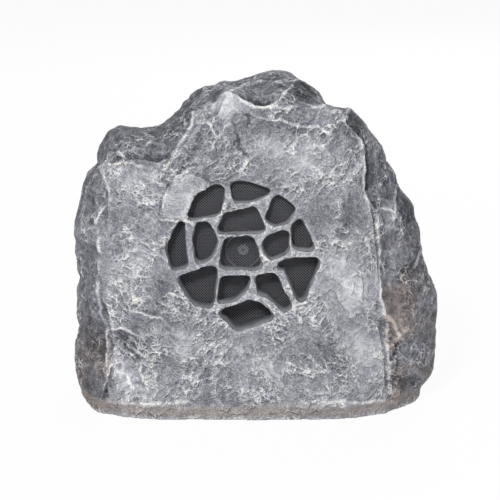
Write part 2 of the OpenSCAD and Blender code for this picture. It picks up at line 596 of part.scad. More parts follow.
module base_screws() color("#6a6c70") for (s = BASE_SCREWS) translate([each base_screw_at(s), 0.2]) {
    cylinder(d = base_screw_head_d, h = base_screw_head_h);
    translate([0, 0, base_screw_head_h]) cylinder(d = base_screw_d, h = 15);
}

module at_board_corners() for (x = [-1, 1], y = [-1, 1])
    translate([board_x + x * (board_w / 2 - board_inset), board_y + y * (board_d / 2 - board_inset), 0]) children();

module crossover_board() color("#2f6b3a") difference() {
    translate([board_x - board_w / 2, board_y - board_d / 2, board_z]) cube([board_w, board_d, board_t]);
    at_board_corners() translate([0, 0, board_z - 1]) cylinder(d = board_screw_d + 2 * screw_gap, h = board_t + 2);
}

module board_screws() color("#c9b25c") at_board_corners() {
    translate([0, 0, board_top_z]) cylinder(d = board_screw_d * 2, h = 2);
    translate([0, 0, board_z - 5]) cylinder(d = board_screw_d, h = 5 + board_t);
}

module on_board(x, y) translate([board_x + x, board_y + y, board_top_z]) children();

module inductor() color("#b8733a") on_board(-22, -8) tube(inductor_d, inductor_d * 0.42, 0, 14);

// An axial film capacitor or resistor lies on its side with bent legs down to the board
module axial_body(d, length) {
    leg = 0.8;
    translate([-length / 2, 0, d / 2]) rotate([0, 90, 0]) cylinder(d = d, h = length);
    for (s = [-1, 1]) {
        translate([s * (length / 2 + 3), 0, 0]) cylinder(d = leg, h = d / 2 + leg / 2, $fn = 16);
        translate([s * (length / 2 + 1.5) - 1.9, 0, d / 2]) rotate([0, 90, 0]) cylinder(d = leg, h = 3.8, $fn = 16);
    }
}
module tweeter_capacitor() color("#c2a53a") on_board(14, 14) axial_body(capacitor_d, 30);
module woofer_capacitor() color("#8c2f2a") on_board(14, -8) axial_body(capacitor_d, 30);
module resistor() color("#e6e4dc") on_board(-22, 20) translate([-20, -5, 0]) cube([40, 10, 9]);

// Screw terminal block for the supply cable
module input_terminal() color("#2a7a4a") on_board(40, 4) difference() {
    translate([-6, -12, 0]) cube([11, 24, 12]);
    for (y = [-6, 6]) translate([0, y, 5]) cylinder(d = 5, h = 10);
    for (y = [-6, 6]) translate([2, y, 4]) rotate([0, 90, 0]) cylinder(d = 4, h = 10);
}

// Puts a shape on the cable gland's axis, with the shape's own +Z pointing out of the back
module on_gland() translate([gland_x, gland_y, gland_z]) rotate([-90, 0, 0]) children();
module hex(across, bottom, top) translate([0, 0, bottom]) cylinder(d = across / cos(30), h = top - bottom, $fn = 6);

module gland_body() color("#202124") on_gland() difference() {
    union() {
        translate([0, 0, -gland_wall - 8]) cylinder(d = gland_d, h = gland_wall + 8);
        hex(gland_across, 0, collar_t);
        translate([0, 0, collar_t]) cylinder(d = gland_d + 2, h = seal_pocket_h);
    }
    translate([0, 0, -gland_wall - 9]) cylinder(d = gland_d - 2 * gland_tube_t, h = 40);
    translate([0, 0, collar_t]) cylinder(d = seal_pocket_d, h = seal_pocket_h + 1);
}

module gland_locknut() color("#2a2b2e") on_gland() difference() {
    hex(gland_across, -gland_wall - 5, -gland_wall);
    translate([0, 0, -gland_wall - 6]) cylinder(d = gland_d + 0.1, h = 8);
}

module gland_seal() color("#101112") on_gland()
    tube(seal_pocket_d - 0.1, cable_bore_d, collar_t, collar_t + seal_pocket_h);

module gland_nut() color("#202124") on_gland() difference() {
    union() {
        hex(gland_across + 2, collar_t + 0.3, collar_t + seal_pocket_h);
        translate([0, 0, collar_t + seal_pocket_h]) cylinder(d1 = gland_across + 1, d2 = cable_bore_d + 9, h = 6);
    }
    translate([0, 0, 0]) cylinder(d = gland_d + 2.1, h = collar_t + seal_pocket_h + 0.1);
    cylinder(d = cable_bore_d + 4, h = 60);
}

// Hook-up leads, each a round tube swept along a smooth curve through points chosen by hand
LEAD_SIDES = 8;
LEAD_STEPS = 4;
function curve_at(p, i, t) =
    let (n = len(p), a = p[max(0, i - 1)], b = p[i], c = p[i + 1], d = p[min(n - 1, i + 2)])
    0.5 * (2 * b + (c - a) * t + (2 * a - 5 * b + 4 * c - d) * t * t + (3 * b - a - 3 * c + d) * t * t * t);
function smooth(p) = [for (i = [0:len(p) - 2], k = [0:LEAD_STEPS - 1]) curve_at(p, i, k / LEAD_STEPS),
    p[len(p) - 1]];
module lead(route, d) {
    path = smooth(route);
    m = len(path);
    function along(i) = let (t = path[min(m - 1, i + 1)] - path[max(0, i - 1)]) t / norm(t);
    rings = [for (i = [0:m - 1])
        let (t = along(i), u = cross(t, [1, 0, 0]) / norm(cross(t, [1, 0, 0])), v = cross(u, t))
        [for (k = [0:LEAD_SIDES - 1]) let (a = 360 * k / LEAD_SIDES) path[i] + d / 2 * (cos(a) * u + sin(a) * v)]];
    rings_solid(rings, path[0], path[m - 1]);
}
// Both leads start at the board's front edge
lead_y = board_y - board_d / 2 + 8;
tab_y = seat_y - plate_front_z - 5.4;
tab_z = axis_z - (shelf_d / 2 - 6 + basket_t) - 9.4;
woofer_route = [[-14, lead_y, board_top_z + 0.1], [-14, lead_y - 2, 30], [-15, lead_y - 14, 46],
    [-14, lead_y - 34, 60], [axis_x, tab_y + 10, tab_z - 26], [axis_x, tab_y, tab_z - 12], [axis_x, tab_y, tab_z]];
post_y = seat_y - yoke_back_z;
tweeter_route = [[6, lead_y, board_top_z + 0.1], [6, lead_y - 1, 34], [3, lead_y - 2, 70],
    [-4, post_y + 36, 110], [axis_x + 2, post_y + 30, 145], [axis_x, post_y + 18, axis_z - 3],
    [axis_x, post_y + 6, axis_z], [axis_x, post_y - 10, axis_z], [axis_x, post_y - 30, axis_z],
    [axis_x, seat_y - tweeter_back_z - 8, axis_z]];
module woofer_lead() color("#b5312b") lead(woofer_route, 4.5);
module tweeter_lead() color("#2c4fa3") lead(tweeter_route, 3);

rock_shell();
grille_mesh();
spacer_ring();
driver_gasket();
driver_screws();
basket();
surround();
cone();
voice_coil();
spider();
top_plate();
magnet();
yoke();
terminal_strip();
tweeter_post();
tweeter_housing();
tweeter_dome();
base_plate();
base_gasket();
base_screws();
crossover_board();
board_screws();
inductor();
tweeter_capacitor();
woofer_capacitor();
resistor();
input_terminal();
gland_body();
gland_locknut();
gland_seal();
gland_nut();
woofer_lead();
tweeter_lead();
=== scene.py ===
# %% [markdown]
# # A garden loudspeaker cast as a boulder
# The real thing is a hollow shell of stone-effect resin. Its front face has fourteen irregular sound holes, and
# behind them sit a fine black grille and a two-way driver. The metal, paper and plastic pieces already have their
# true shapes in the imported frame, so this script gives them finishes, and spends its effort on the two surfaces
# that carry the look: the rugged cast skin and the fine grille.

import math

import bmesh
import bpy
import numpy as np
from mathutils import Matrix, Vector
from mathutils.kdtree import KDTree


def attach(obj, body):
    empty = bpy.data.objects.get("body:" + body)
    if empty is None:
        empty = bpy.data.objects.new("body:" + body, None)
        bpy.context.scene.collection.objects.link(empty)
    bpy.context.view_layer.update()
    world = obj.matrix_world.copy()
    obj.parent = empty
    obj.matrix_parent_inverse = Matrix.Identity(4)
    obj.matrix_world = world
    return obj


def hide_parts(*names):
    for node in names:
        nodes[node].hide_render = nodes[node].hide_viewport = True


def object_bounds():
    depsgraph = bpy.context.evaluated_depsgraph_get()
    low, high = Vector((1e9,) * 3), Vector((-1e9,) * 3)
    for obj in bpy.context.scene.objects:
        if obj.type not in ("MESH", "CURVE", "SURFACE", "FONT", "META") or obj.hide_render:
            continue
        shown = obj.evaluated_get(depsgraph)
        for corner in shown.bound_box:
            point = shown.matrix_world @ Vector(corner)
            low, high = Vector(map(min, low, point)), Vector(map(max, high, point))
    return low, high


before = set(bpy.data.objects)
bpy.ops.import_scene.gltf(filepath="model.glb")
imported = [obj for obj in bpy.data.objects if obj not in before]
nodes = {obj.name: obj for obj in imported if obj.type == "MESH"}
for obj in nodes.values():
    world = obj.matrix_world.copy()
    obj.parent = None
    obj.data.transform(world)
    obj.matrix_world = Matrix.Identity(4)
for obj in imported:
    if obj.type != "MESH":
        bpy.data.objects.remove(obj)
cad_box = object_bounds()
MM = 0.001
print("CAD box in mm:", [[round(c / MM, 1) for c in corner] for corner in cad_box])

# %% [markdown]
# ## Sizes shared with the casing
# A few sizes of the casing place the relief and the grille: the driver's axis, the lean of the front face and the
# circle that holds the sound holes. They are written once here, in millimetres. The camera's height and distance
# stand here too, because the marks on the face are placed as it sees them.

# %% Sizes in millimetres
AXIS_X, AXIS_Z = -14.0, 169.0
FACE_LEAN = math.tan(math.radians(5.5))
FACE_FOOT_Y = -150.0
PATTERN_R = 76.0
GRILLE_Y = FACE_FOOT_Y + AXIS_Z * FACE_LEAN + 14.0
GLAND_X, GLAND_Z, BACK_Y = 34.0, 46.0, 130.0
VIEW_ELEVATION = math.radians(15)
VIEW_DISTANCE = 1600.0
TO_CAMERA = np.array([0, -math.cos(VIEW_ELEVATION), math.sin(VIEW_ELEVATION)])
print("front of the grille at y =", round(GRILLE_Y, 1), "mm")


# %% [markdown]
# ## Two small helpers
# Colours are picked in sRGB, as on a colour chart, and turned to the linear values that shaders work in. One
# function adds a node, sets it and links it, which keeps each material short enough to read.

# %% Colour and node helpers
def linear(code, alpha=1.0):
    """The linear colour of an sRGB hex code."""
    channels = [int(code[i:i + 2], 16) / 255 for i in (1, 3, 5)]
    return [c / 12.92 if c <= 0.04045 else ((c + 0.055) / 1.055) ** 2.4 for c in channels] + [alpha]


def add(tree, kind, inputs=None, **settings):
    """Adds a node, sets its options, and links or sets each of its inputs."""
    node = tree.nodes.new(kind)
    for name, value in settings.items():
        setattr(node, name, value)
    for name, value in (inputs or {}).items():
        if isinstance(value, bpy.types.NodeSocket):
            tree.links.new(value, node.inputs[name])
        else:
            node.inputs[name].default_value = value
    return node


def new_material(name):
    """An empty material with one Principled shader."""
    material = bpy.data.materials.new(name)
    material.use_nodes = True
    tree = material.node_tree
    tree.nodes.clear()
    surface = add(tree, "ShaderNodeBsdfPrincipled")
    add(tree, "ShaderNodeOutputMaterial", {"Surface": surface.outputs["BSDF"]})
    return material, tree, surface


print("middle grey in linear light:", round(linear("#808080")[0], 3))


# %% [markdown]
# ## Noise for the relief
# Cast stone skins are modelled from real rock: broad broken faces, smaller chips on them, and a web of thin raised
# wrinkles where the mould compound was stippled. Lattice noise is enough for all three. It is written in NumPy so
# that it can move vertices, and the hash makes it the same on every run.

# %% Lattice noise
def lattice(ix, iy, iz, seed):
    h = (ix * 374761393 + iy * 668265263 + iz * 2147483647 + seed * 144665) & 0xFFFFFFFF
    h = ((h ^ (h >> 13)) * 1274126177) & 0xFFFFFFFF
    return h ^ (h >> 16)


def noise(points, size, seed=0):
    """Smooth noise between about -1 and 1, with features of the given size."""
    p = points / size
    cell = np.floor(p).astype(np.int64)
    f = p - cell
    u = f * f * f * (f * (f * 6 - 15) + 10)
    total = np.zeros(len(p))
    for dx in (0, 1):
        for dy in (0, 1):
            for dz in (0, 1):
                h = lattice(cell[:, 0] + dx, cell[:, 1] + dy, cell[:, 2] + dz, seed)
                gx = (h & 1023) / 511.5 - 1
                gy = ((h >> 10) & 1023) / 511.5 - 1
                gz = ((h >> 20) & 1023) / 511.5 - 1
                dot = gx * (f[:, 0] - dx) + gy * (f[:, 1] - dy) + gz * (f[:, 2] - dz)
                w = (np.where(dx, u[:, 0], 1 - u[:, 0]) * np.where(dy, u[:, 1], 1 - u[:, 1])
                     * np.where(dz, u[:, 2], 1 - u[:, 2]))
                total += w * dot
    return total * 1.5


def warped(points, size, amount, seed):
    """Points pushed about by noise, so that what is drawn on them wanders."""
    return points + amount * np.stack([noise(points, size, seed + k) for k in (0, 1, 2)], 1)


def ridges(points, size, seed, sharp=1.0):
    """Raised crest lines with hollows between them, from 0 to 1."""
    return np.clip(1 - np.abs(noise(points, size, seed)) * sharp, 0, 1)


def smooth(x, low, high):
    """0 below the low value, 1 above the high one, and an even slope between."""
    t = np.clip((x - low) / (high - low), 0, 1)
    return t * t * (3 - 2 * t)


walk = np.linspace((0, 0, 0), (40, 25, 10), 6)
print("noise of 10 mm along a line:", noise(walk, 10).round(2))


# %% [markdown]
# ## The cast skin: an even net of points
# The CAD casing has long thin triangles that can't carry relief. A voxel remesh gives an even net all over it and
# rounds the rims of the holes slightly, as a casting does. It is done on a merged copy, and the CAD node stays as
# it is and only stops being shown.

# %% Remesh a copy of the casing
def merged_copy(name, source):
    """A CAD node's mesh is loose triangles, so a copy has its points joined first."""
    mesh = source.data.copy()
    mesh.name = name
    bm = bmesh.new()
    bm.from_mesh(mesh)
    bmesh.ops.remove_doubles(bm, verts=bm.verts, dist=0.002 * MM)
    bm.to_mesh(mesh)
    bm.free()
    obj = bpy.data.objects.new(name, mesh)
    bpy.context.scene.collection.objects.link(obj)
    return obj


def apply_modifiers(obj):
    """Puts what the modifiers make into the mesh itself."""
    graph = bpy.context.evaluated_depsgraph_get()
    mesh = bpy.data.meshes.new_from_object(obj.evaluated_get(graph))
    old = obj.data
    obj.modifiers.clear()
    obj.data = mesh
    bpy.data.meshes.remove(old)


VOXEL = 1.55 * MM
boulder = merged_copy("cast_boulder", nodes["rock_shell"])
boulder.data.materials.clear()
remesh = boulder.modifiers.new("even_net", "REMESH")
remesh.mode = "VOXEL"
remesh.voxel_size = VOXEL
remesh.adaptivity = 0
apply_modifiers(boulder)
print("even net:", len(boulder.data.vertices), "points")


# %% [markdown]
# ## Which points carry relief
# Only the outside is rugged. The shell is roughly star-shaped about a point inside it, so the outside faces away
# from that point and the inside faces towards it. The walls of the sound holes and the flat underside stay plain.

# %% Read, write and average the net
def read_points(mesh):
    p = np.empty(len(mesh.vertices) * 3, np.float32)
    mesh.vertices.foreach_get("co", p)
    n = np.empty(len(mesh.vertices) * 3, np.float32)
    mesh.vertices.foreach_get("normal", n)
    return p.reshape(-1, 3).astype(float) / MM, n.reshape(-1, 3).astype(float)


def write_points(mesh, p):
    mesh.vertices.foreach_set("co", (p * MM).astype(np.float32).ravel())
    mesh.update()


def mesh_edges(mesh):
    e = np.empty(len(mesh.edges) * 2, np.int32)
    mesh.edges.foreach_get("vertices", e)
    return e.reshape(-1, 2)


def averaged(values, edges, rounds):
    """Each value becomes the mean of itself and its neighbours, several times over."""
    values = np.asarray(values, float)
    flat = values.reshape(len(values), -1)
    count = 1 + np.bincount(edges.ravel(), minlength=len(flat))
    for _ in range(rounds):
        out = flat.copy()
        for k in range(flat.shape[1]):
            out[:, k] += np.bincount(edges[:, 0], flat[edges[:, 1], k], len(flat))
            out[:, k] += np.bincount(edges[:, 1], flat[edges[:, 0], k], len(flat))
        flat = out / count[:, None]
    return flat.reshape(values.shape)


p, n = read_points(boulder.data)
edges = mesh_edges(boulder.data)
print("edges in the net:", len(edges))

# %% Masks over the net
MIDDLE = np.array([-10.0, 10.0, 120.0])
broad_n = averaged(n, edges, 6)
broad_n /= np.linalg.norm(broad_n, axis=1)[:, None] + 1e-9
away = p - MIDDLE
facing = np.einsum("ij,ij->i", n, away / np.linalg.norm(away, axis=1)[:, None])
outside = smooth(facing, 0.12, 0.32) * smooth(p[:, 2], 1.5, 7) * smooth(n[:, 2], -0.93, -0.7)
radius = np.hypot(p[:, 0] - AXIS_X, p[:, 2] - AXIS_Z)
face_depth = p[:, 1] - (FACE_FOOT_Y + p[:, 2] * FACE_LEAN)
in_bore = (radius < PATTERN_R + 6) & (face_depth > 1.6) & (p[:, 1] < GRILLE_Y + 3)
outside[in_bore] = 0
# The spot face round the cable gland stays plain as well
gland = np.hypot(p[:, 0] - GLAND_X, p[:, 2] - GLAND_Z)
outside *= np.where(p[:, 1] > BACK_Y, smooth(gland, 17, 21), 1)
print("share of the net that carries relief:", round(float(outside.mean()), 3))


# %% [markdown]
# ## Rounded ribs
# The ribs between the sound holes are not sharp on the real casting: paint and the pull of the mould round them like
# knuckle bones. Each point near a hole moves to the mean of its neighbours, a few times over, which rounds the
# corners of the holes and the edges of the ribs by one or two millimetres.

# %% Round the ribs and the corners of the holes
RIB_REACH, RIB_ROUNDING = 3.4, 13
near_hole = averaged(in_bore.astype(float), edges, max(1, round(RIB_REACH * MM / VOXEL)))
near_hole = np.clip(near_hole * 3, 0, 1) * smooth(GRILLE_Y - p[:, 1], 0.5, 4) * (p[:, 1] < GRILLE_Y)
p += (averaged(p, edges, max(2, round(RIB_ROUNDING * MM / VOXEL))) - p) * near_hole[:, None]
# No hole of a casting is quite true, so the walls wobble a little sideways
p[:, 0] += 1.0 * noise(p, 9, 121) * near_hole
p[:, 2] += 1.0 * noise(p, 9, 122) * near_hole
print("points rounded:", int((near_hole > 0.5).sum()))


# %% [markdown]
# ## Marks placed one by one
# Some features of the front face are single events: a chipped pocket low on the left, a smooth slab that laps over
# the face above the holes, a few cracks, and the raised crests where the face turns into the sides. Each is a
# short list of points on the face, in millimetres, as seen from the camera. A line wanders a little by noise, so it
# never looks drawn.

# %% Distance to a drawn line, and what lies inside it
def to_line(x, z, line):
    """Distance from each point of the face to a polyline."""
    best = np.full(len(x), 1e9)
    for (ax, az), (bx, bz) in zip(line, line[1:]):
        dx, dz = bx - ax, bz - az
        t = np.clip(((x - ax) * dx + (z - az) * dz) / (dx * dx + dz * dz), 0, 1)
        best = np.minimum(best, np.hypot(x - ax - t * dx, z - az - t * dz))
    return best


def inside(x, z, outline):
    """Whether each point lies inside an outline: a line from it crosses the outline an odd number of times."""
    hit = np.zeros(len(x), bool)
    for (ax, az), (bx, bz) in zip(outline, outline[1:] + outline[:1]):
        crosses = (az > z) != (bz > z)
        with np.errstate(divide="ignore", invalid="ignore"):
            hit ^= crosses & (x < (bx - ax) * (z - az) / (bz - az) + ax)
    return hit


# %% Pocket, slab, crests and cracks
POCKET = [(-150, 94), (-137, 96), (-126, 90), (-131, 78), (-117, 68), (-119, 50), (-112, 34), (-134, 40),
          (-149, 60)]
SLAB = [(-95, 208), (-92, 226), (-82, 246), (-66, 254), (-52, 248), (-40, 236), (-52, 226), (-62, 214),
        (-70, 206)]
# Points, width and height: crests stand up, cracks go down
CRESTS = [
    ([(-44, 319), (-37, 328), (-31, 331), (-20, 329), (-11, 322), (-4, 317), (8, 318), (19, 319), (27, 317),
      (42, 320), (59, 318), (72, 321), (84, 327)], 1.4, 1.9),
    ([(18, 319), (24, 327), (31, 336), (37, 346)], 1.3, 1.7),
    ([(-27, 333), (-12, 343), (2, 346), (16, 345), (34, 345)], 1.4, 1.1),
    ([(37, 347), (46, 347), (57, 337), (62, 327)], 1.3, 1.1),
    ([(89, 322), (87, 312), (88, 302), (95, 291), (102, 286), (104, 272), (106, 258), (104, 237)], 1.4, 1.8),
    ([(104, 237), (112, 224), (120, 208), (121, 186), (122, 142), (128, 112)], 1.5, 1.3),
    ([(131, 108), (131, 86), (133, 62), (136, 26)], 1.5, 1.3),
    ([(140, 244), (138, 228), (139, 210)], 1.3, 1.3),
    ([(114, 229), (138, 227)], 1.1, 0.9),
    ([(124, 218), (138, 216)], 1.1, 0.9),
    ([(161, 190), (163, 176), (158, 160)], 1.4, 1.2),
    ([(-63, 314), (-65, 302), (-73, 286), (-83, 268), (-95, 250)], 1.6, 1.7),
    ([(-155, 262), (-133, 264), (-113, 259), (-89, 266)], 1.5, 1.3),
    ([(-155, 262), (-149, 246), (-147, 226), (-160, 206), (-157, 174)], 1.4, 0.8),
    ([(-159, 142), (-157, 110), (-149, 94)], 1.4, 0.6),
    ([(-149, 94), (-151, 60), (-150, 26)], 1.4, 0.9),
    ([(-151, 62), (-150, 94), (-137, 97), (-125, 91), (-130, 79), (-116, 69), (-118, 50), (-110, 33)], 1.3, 1.6),
    ([(-96, 207), (-93, 226), (-83, 246), (-68, 254)], 1.2, 0.9),
    ([(-96, 207), (-70, 205), (-60, 199)], 1.3, 1.2),
    ([(60, 20), (90, 21), (136, 18)], 1.8, 0.8),
    ([(-140, 19), (-104, 17), (-70, 20)], 1.8, 0.6),
    ([(-137, 118), (-118, 112), (-97, 106), (-84, 96)], 1.3, 1.0),
    ([(-48, 302), (-40, 290), (-44, 276)], 1.3, 1.0),
    ([(24, 306), (44, 298), (58, 300), (74, 292)], 1.3, 1.0),
    ([(127, 112), (138, 101), (143, 88), (136, 79)], 2.0, 1.8),
    ([(-147, 58), (-133, 47), (-126, 34)], 1.4, 0.9),
]
CRACKS = [
    ([(27, 276), (40, 290), (56, 308)], 1.2, -0.5),
    ([(-25, 306), (-19, 292), (-18, 278), (-8, 270)], 1.6, -0.8),
    ([(-19, 286), (-30, 276)], 1.4, -0.7),
    ([(-86, 240), (-72, 262), (-58, 282), (-54, 298)], 4.0, -0.7),
    ([(-98, 204), (-96, 222), (-86, 246), (-74, 257), (-62, 261)], 1.3, -0.9),
    ([(92, 318), (91, 304), (98, 293), (106, 288), (108, 270), (110, 252), (109, 238)], 1.8, -1.6),
    ([(142, 240), (142, 222), (144, 206)], 1.8, -1.2),
    ([(-14, 312), (-8, 308), (-10, 300)], 1.8, -0.9),
    ([(131, 86), (141, 77), (137, 64)], 2.4, -1.6),
    ([(-139, 90), (-134, 80), (-124, 73), (-123, 58)], 2.0, -1.0),
    ([(-60, 62), (-48, 50), (-50, 40)], 1.5, -0.6),
    ([(8, 58), (18, 44), (15, 34)], 1.5, -0.7),
    ([(66, 100), (62, 80), (70, 62)], 1.5, -0.6),
]
print(len(CRESTS), "crests and", len(CRACKS), "cracks")


# %% [markdown]
# ## Where the face ends and the sides begin
# On the real boulder the worked front face is lighter than the sides, and the change comes at a crest, not
# gradually. The sides are also painted darker as painted shade, since they turn away from the light. The crest is
# drawn once as an outline, and a point belongs to the face if it lies inside it and faces the front.

# %% The face and the sides
FACE_EDGE = [(-152, -9), (-151, 60), (-149, 94), (-157, 110), (-159, 142), (-157, 174), (-160, 206), (-147, 226),
             (-149, 246), (-155, 262), (-133, 264), (-113, 259), (-91, 264), (-74, 286), (-66, 302), (-58, 318),
             (-37, 328), (-31, 332), (-20, 330), (-4, 318), (8, 319), (27, 318), (59, 320), (90, 327), (88, 303),
             (102, 287), (106, 258), (105, 237), (113, 223), (121, 208), (121, 186), (123, 142), (129, 110),
             (131, 86), (135, 62), (137, 26), (137, -9)]
wander_x = 1.6 * noise(p, 15, 91) + 1.0 * noise(p, 6, 93)
wander_z = 1.6 * noise(p, 15, 92) + 1.0 * noise(p, 6, 94)
# A point set back from the face looks higher and nearer to the middle, as the camera sees it
x = p[:, 0] * VIEW_DISTANCE / (VIEW_DISTANCE + face_depth)
z = p[:, 2] + face_depth * math.tan(VIEW_ELEVATION)
edge_d = to_line(x + wander_x, z + wander_z, FACE_EDGE)
edge_d *= np.where(inside(x + wander_x, z + wander_z, FACE_EDGE), 1, -1)
# The crest is crisp at the top and on the right, and rounded over on the left
edge_w = 2.5 + 7.0 * smooth(-x, 120, 145)
front = smooth(edge_d / edge_w, -1, 1) * smooth(-broad_n[:, 1], 0.05, 0.35) * outside
print("share of the net on the face:", round(float(front.mean()), 3))

# %% [markdown]
# ## Move the net
# The relief is made in three sizes. Broad facets of 40 to 60 mm break up the sides, top and back, and are weak on
# the front face. Chips of 15 to 25 mm come next. The thin wrinkles of 5 to 9 mm are strongest on the front face.
# Everything moves along the smoothed normal, so that neighbouring points don't cross.

# %% Relief in three sizes
warp = warped(p, 30, 9, 11)
fine_warp = warped(p, 11, 4.5, 21)
facets = ridges(warp, 52, 31) * 0.6 + ridges(warp, 27, 41) * 0.4
chips = ridges(fine_warp, 17, 51, 1.6)
wrinkles = np.maximum(ridges(fine_warp, 8.5, 61, 2.6), ridges(fine_warp, 6.2, 71, 2.8) * 0.8)
broken = smooth(noise(p, 24, 81), -0.25, 0.35)
wrinkles *= 0.12 + 0.88 * broken
calm = smooth(radius, PATTERN_R - 4, PATTERN_R + 26)
lift = (facets - 0.72) * (5.0 * (1 - front) + 2.6 * front * calm)
lift += (chips - 0.6) * (1.8 * (1 - front) + 0.8 * front * (0.25 + 0.75 * calm))
lift += (wrinkles - 0.3) * (0.9 * (1 - front) + 0.75 * front)
print("relief before the marks, 5th to 95th percentile:", np.percentile(lift, (5, 95)).round(2), "mm")

# %% Press the marks in
POCKET_DEPTH, SLAB_HEIGHT, FOOT_DEPTH = 2.5, 2.0, 1.2
# Marks fade where the surface turns away from the camera, so that none is smeared over the top
near_face = outside * smooth(broad_n @ TO_CAMERA, 0.05, 0.3)
pocket_d = to_line(x, z, POCKET + POCKET[:1])
pocket = np.where(inside(x, z, POCKET), smooth(pocket_d, 0, 4), 0)
lift -= POCKET_DEPTH * pocket * front
slab_d = to_line(x, z, SLAB + SLAB[:1])
slab = np.where(inside(x, z, SLAB), smooth(slab_d, 0, 1.6), 0)
lift = lift * (1 - 0.8 * slab) + SLAB_HEIGHT * slab * front
marked = np.zeros(len(p))
broken_line = smooth(noise(p, 12, 95), -0.45, 0.1)
for line, width, height in CRESTS + CRACKS:
    line_d = to_line(x + wander_x, z + wander_z, line)
    amount = np.exp(-((line_d / width) ** 2)) * near_face * (0.3 + 0.7 * broken_line)
    lift += height * amount
    # A crest gets pale paint, and a crack darker paint as painted shade. A crack shows mostly by its own shade, so
    # it gets less paint than a crest
    marked += (1.0 if height > 0 else -0.35) * amount
# The foot is undercut below its lip
foot = smooth(-broad_n[:, 1], 0.3, 0.8) * (1 - smooth(p[:, 2], 10, 15))
lift -= FOOT_DEPTH * foot
print("points under a crest:", int((marked > 0.5).sum()))

# %% Keep to the wall and the box, and move the net
# The wall is thin in places, so hollows stop short of it, gently
DEEPEST = 2.3
lift = np.where(lift < 0, -DEEPEST * np.tanh(-lift / DEEPEST), lift)
# Crests stay inside the size of the casing, so they flatten where it ends
low_corner, high_corner = np.array(cad_box) / MM
room = np.full(len(p), 1e3)
for axis in range(3):
    gap = np.where(broad_n[:, axis] > 0, high_corner[axis] - p[:, axis], p[:, axis] - low_corner[axis])
    room = np.minimum(room, gap / np.maximum(np.abs(broad_n[:, axis]), 0.05))
room = np.maximum(room - 0.15, 0.05)
lift = np.where(lift > 0, room * np.tanh(lift / room), lift)
moved = p + broad_n * (lift * outside)[:, None]
moved[:, 2] = np.where(p[:, 2] > 0.6, np.maximum(moved[:, 2], 0.3), np.maximum(p[:, 2], 0))
write_points(boulder.data, moved)
print("relief from", round(float((lift * outside).min()), 1), "to", round(float((lift * outside).max()), 1), "mm")

# %% [markdown]
# ## Paint masks, with painted highlight and shade
# The paint follows the form: a dark base coat stays in the hollows, and a nearly dry pale brush catches whatever
# stands proud, and the darker hollows are partly painted shade as well. How proud a point stands is its height over
# the average of its neighbours, once for fine wrinkles and once for broad edges. Further masks hold painted highlight
# and painted shade, some only in part: the patches, the darker sides, the pale rims and the darker depth of the hole
# walls. The masks ride on the mesh as attributes that the material reads.

# %% How proud each point stands
FINE_MM, BROAD_MM = 4, 60
p2, n2 = read_points(boulder.data)
per_step = VOXEL / MM
# Hollows get darker paint and crests paler: the wash and the dry brush, with painted shade in the hollows as well
fine = np.einsum("ij,ij->i", p2 - averaged(p2, edges, max(1, round(FINE_MM / per_step))), n2)
broad = np.einsum("ij,ij->i", p2 - averaged(p2, edges, max(4, round(BROAD_MM / per_step))), n2)
print("fine height percentiles:", np.percentile(fine, (5, 50, 95)).round(3))
print("broad height percentiles:", np.percentile(broad, (5, 50, 95)).round(3))

# %% Patches, walls and rims
# Centre, half width, half height and strength: pale patches are painted highlight on broad smooth plateaus, and
# dark ones are painted shade in the pocket, under overhangs and on facets turned away from the light
PAINTED_LIGHT_PATCHES = [(83, 158, 16, 13, 1.1), (99, 130, 17, 17, 1.3), (107, 72, 10, 22, 1.1), (52, 268, 18, 18, 1.0),
           (14, 280, 20, 10, 0.9), (-8, 260, 12, 14, 0.6), (-113, 174, 20, 12, 0.4), (-128, 150, 14, 16, 0.5),
           (-143, 78, 6, 16, 0.6), (-132, 50, 14, 12, 1.0), (-76, 76, 20, 12, 0.4), (-40, 70, 30, 12, 0.3),
           (20, 48, 26, 12, 0.4), (-68, 232, 18, 16, 0.7), (-130, 250, 22, 12, 0.5), (-25, 322, 14, 8, 0.7),
           (-104, 34, 24, 12, 0.5), (-20, 30, 40, 10, 0.3), (-97, 142, 22, 14, -0.5),
           (-106, 110, 24, 12, -0.5), (-134, 206, 16, 14, -0.3), (84, 214, 18, 22, -0.4),
           (27, 300, 24, 8, -0.6), (-3, 294, 12, 10, -0.4), (63, 70, 26, 20, -0.5), (-65, 60, 20, 12, -0.3),
           (45, 44, 18, 10, -0.3), (-52, 272, 12, 14, -0.3), (100, 190, 12, 18, -0.2), (47, 337, 12, 10, -3.6),
           (10, 334, 16, 8, 0.8), (-33, 318, 12, 8, 0.9), (-136, 84, 9, 9, -0.8), (-126, 70, 8, 10, -0.5),
           (150, 222, 7, 20, -1.4), (118, 250, 8, 22, 0.4), (84, 300, 14, 18, -0.8), (-40, 256, 22, 14, -0.3),
           (97, 303, 7, 10, -2.4), (114, 284, 8, 22, 0.7), (-170, 180, 14, 55, 0.5), (168, 170, 12, 60, -0.3),
           (136, 150, 9, 50, 0.8), (142, 90, 8, 20, 0.4), (162, 70, 24, 70, 0.5), (60, 90, 70, 70, 0.22),
           (-50, 270, 90, 55, -0.3), (112, 262, 4, 22, -0.9), (132, 212, 8, 26, 0.8), (139, 70, 7, 12, -1.0)]
# Noise gives a random tone, and each listed patch adds a painted highlight or painted shade to it
tone_and_painted_light = 0.4 * noise(warp, 46, 101) + 0.4 * noise(warp, 22, 111)
for cx, cz, w, h, strength in PAINTED_LIGHT_PATCHES:
    tone_and_painted_light += strength * np.exp(-(((x - cx) / w) ** 2 + ((z - cz) / h) ** 2)) * near_face
